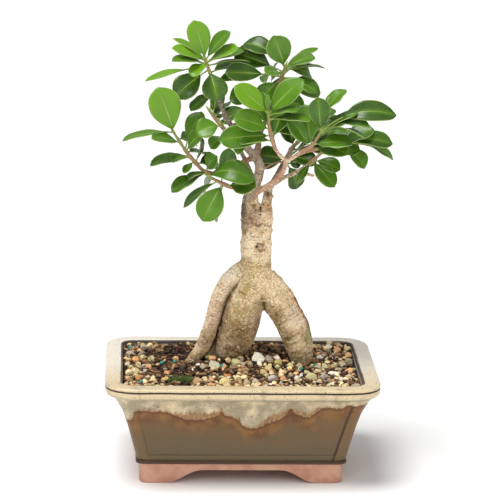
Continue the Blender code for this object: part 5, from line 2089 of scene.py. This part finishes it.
        laid = []
        places: list[tuple[float, float, float]] = []
        for x, y, size, colour in self.known:
            places.append((x, y, size))
            point = (x, y, self.height(x, y) + 0.16 * size)
            laid.append(self.drop(rng.choice(stones), point, size, colour, rng))
        codes = [code for code, share in self.palette]
        shares = [share for code, share in self.palette]
        for number in range(self.stone_count * 9):
            if len(places) >= self.stone_count:
                break
            size, x, y = drawn(self.stone_size)
            covered = 1.0 + 0.5 * noise.noise(Vector((x / 14, y / 14, 4.0)))
            for bare_x, bare_y, reach_x, reach_y, strength in self.bare:
                square = ((x - bare_x) / reach_x) ** 2 + ((y - bare_y) / reach_y) ** 2
                covered -= strength * math.exp(-square)
            if rng.random() > covered:
                continue
            crowded = any(math.hypot(x - px, y - py) < 0.38 * (size + other)
                          for px, py, other in places)
            if crowded or not clear(x, y, 0.4 * size) or not self.inside(x, y, 0.52 * size):
                continue
            places.append((x, y, size))
            colour = rng.choices(codes, shares)[0]
            point = (x, y, self.height(x, y) + rng.uniform(0.0, 0.3) * size)
            laid.append(self.drop(rng.choice(stones), point, size, colour, rng))
        for number in range(self.chip_count):
            size, x, y = drawn(self.chip_size)
            if not clear(x, y, 1.0) or not self.inside(x, y, 0.6 * size):
                continue
            point = (x, y, self.height(x, y) + rng.uniform(0.1, 1.6))
            laid.append(self.drop(rng.choice(chips), point, size,
                                  rng.choice(self.chip_palette), rng))
        return laid

    def build(self) -> None:
        """Fill the pot."""
        rng = random.Random(self.seed)
        humus = Grit("pine_bark_humus", self.chip_palette[1], 0.95, 1.6, 0.6, 0.5).material()
        gravel = Grit("crushed_gravel", "#C9B48A", 0.8, 0.9, 0.3, 0.3).material()
        resin = Grit("coated_fertiliser", self.bead_colour, 0.4, 1.5, 0.08, 0.05).material()
        leafy = Grit("moss", self.moss_colour, 0.7, 2.6, 0.6, 0.1).material()
        bed = self.bed()
        coat(bed, humus)
        strewn = join("soil_grit", self.strew(rng))
        coat(strewn, gravel)

        beads = []
        for x, y in self.beads:
            deselect()
            bpy.ops.mesh.primitive_uv_sphere_add(
                segments=16, ring_count=10, radius=self.bead_size / 2 * MM,
                location=placed((x, y, self.height(x, y) + 1.9)))
            bead = active()
            bpy.ops.object.transform_apply(location=True, rotation=True, scale=True)
            bpy.ops.object.shade_smooth()
            tint(bead.data, self.bead_colour, rng.uniform(0.85, 1.15))
            beads.append(bead)
        fertiliser = join("soil_beads", beads)
        coat(fertiliser, resin)

        tufts = []
        for number in range(self.moss_blades):
            x = self.moss_place[0] + rng.gauss(0, 0.42) * self.moss_spread[0]
            y = self.moss_place[1] + rng.gauss(0, 0.42) * self.moss_spread[1]
            foot = Vector((x, y, self.height(x, y) - 0.5))
            lean = Vector((rng.gauss(0, 0.7), rng.gauss(0, 0.7), 1.0)) * rng.uniform(2.5, 6.0)
            tufts.append([(*(foot + lean * share), 0.5 * (1.05 - share))
                          for share in (0.0, 0.5, 1.0)])
        moss = limbs("soil_moss", tufts, 0)
        tint(moss.data, self.moss_colour)
        coat(moss, leafy)
        for piece in (bed, strewn, fertiliser, moss):
            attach(piece, "root")
        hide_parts("soil")


@dataclass
class Studio:
    """A white sweep, soft lights and the camera that took the photo."""

    lens: float = 183.5
    distance: float = 1932.5
    target: Point = (5.98, 0.0, 169.06)
    elevation: float = 13.23
    yaw: float = -2.82
    roll: float = 1.04
    floor_size: float = 30.0
    sun_strength: float = 2.5    # watts per square metre
    sun_width: float = 30.0      # degrees
    sun_place: Point = (-0.32, -0.2, 1.4)
    fill_place: Point = (0.8, -1.7, 0.9)
    fill_power: float = 8.0
    glint_place: Point = (-0.55, -1.3, 1.0)
    glint_power: float = 2.2
    world: float = 0.36

    def light(self, name: str, kind: str, place: Point, size: float, power: float) -> None:
        """Add a soft light that faces the plant.

        Args:
            name: Its name.
            kind: Its Blender type.
            place: Its place in metres.
            size: An area light's side in metres, or a sun's width in radians.
            power: Its power in watts, or a sun's strength.
        """
        lamp = bpy.data.lights.new(name, kind)
        if kind == "SUN":
            lamp.angle = size
        else:
            lamp.shape = "SQUARE"
            lamp.size = size
        lamp.energy = power
        stand = linked(name, lamp)
        stand.location = place
        aim = Vector((0.0, 0.0, 0.2)) - Vector(place)
        stand.rotation_euler = aim.to_track_quat("-Z", "Y").to_euler()

    def camera(self) -> None:
        """Place the camera as it stood for the photo."""
        yaw, lift = math.radians(self.yaw), math.radians(self.elevation)
        back = Vector((math.sin(yaw) * math.cos(lift), -math.cos(yaw) * math.cos(lift),
                       math.sin(lift)))
        right = (-back).cross(Vector((0.0, 0.0, 1.0))).normalized()
        up = right.cross(-back)
        turn = math.radians(self.roll)
        rolled_right = math.cos(turn) * right + math.sin(turn) * up
        rolled_up = math.cos(turn) * up - math.sin(turn) * right
        lens = bpy.data.cameras.new("photo_camera")
        lens.lens = self.lens
        lens.sensor_width = 36.0
        lens.clip_end = 100.0
        stand = linked("photo_camera", lens)
        place = placed(self.target) + back * (self.distance * MM)
        axes = Matrix((rolled_right, rolled_up, back)).transposed().to_4x4()
        stand.matrix_world = Matrix.Translation(place) @ axes
        bpy.context.scene.camera = stand

    def floor(self) -> None:
        """Lay the white floor."""
        deselect()
        bpy.ops.mesh.primitive_plane_add(size=self.floor_size, location=(0.0, 0.0, 0.0))
        floor = active()
        floor.name = floor.data.name = "studio_floor"
        coat(floor, new_material("white_paper_sweep", "#FFFFFF", 0.9, 1.3)[0])

    def build(self) -> None:
        """Set floor, lights, world and camera."""
        self.floor()
        self.light("key_light", "SUN", self.sun_place, math.radians(self.sun_width),
                   self.sun_strength)
        self.light("fill_softbox", "AREA", self.fill_place, 2.2, self.fill_power)
        self.light("glint_softbox", "AREA", self.glint_place, 0.5, self.glint_power)
        world = bpy.data.worlds.new("white_studio")
        world.use_nodes = True
        feed(world.node_tree.nodes["Background"], {"Color": "#FFFFFF", "Strength": self.world})
        bpy.context.scene.world = world
        # Plain sRGB, so that the finishes keep the colours that they are given
        bpy.context.scene.view_settings.view_transform = "Standard"
        self.camera()


def main() -> None:
    """Build the scene around the frame."""
    logging.basicConfig(level=logging.INFO)
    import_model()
    GlazedPot().build(StonewareGlaze())
    LOG.info("pot glazed")
    Wood().build(FicusBark())
    LOG.info("wood grown")
    Foliage().build(LeafSkin(), GreenTwig())
    LOG.info("foliage grown")
    PottingMix().build()
    LOG.info("pot filled")
    plastic = MouldedPlastic().material()
    for name in ("drain_mesh_left", "drain_mesh_right"):
        coat(bpy.data.objects[name], plastic)
    Studio().build()


if __name__ == "__main__":
    main()
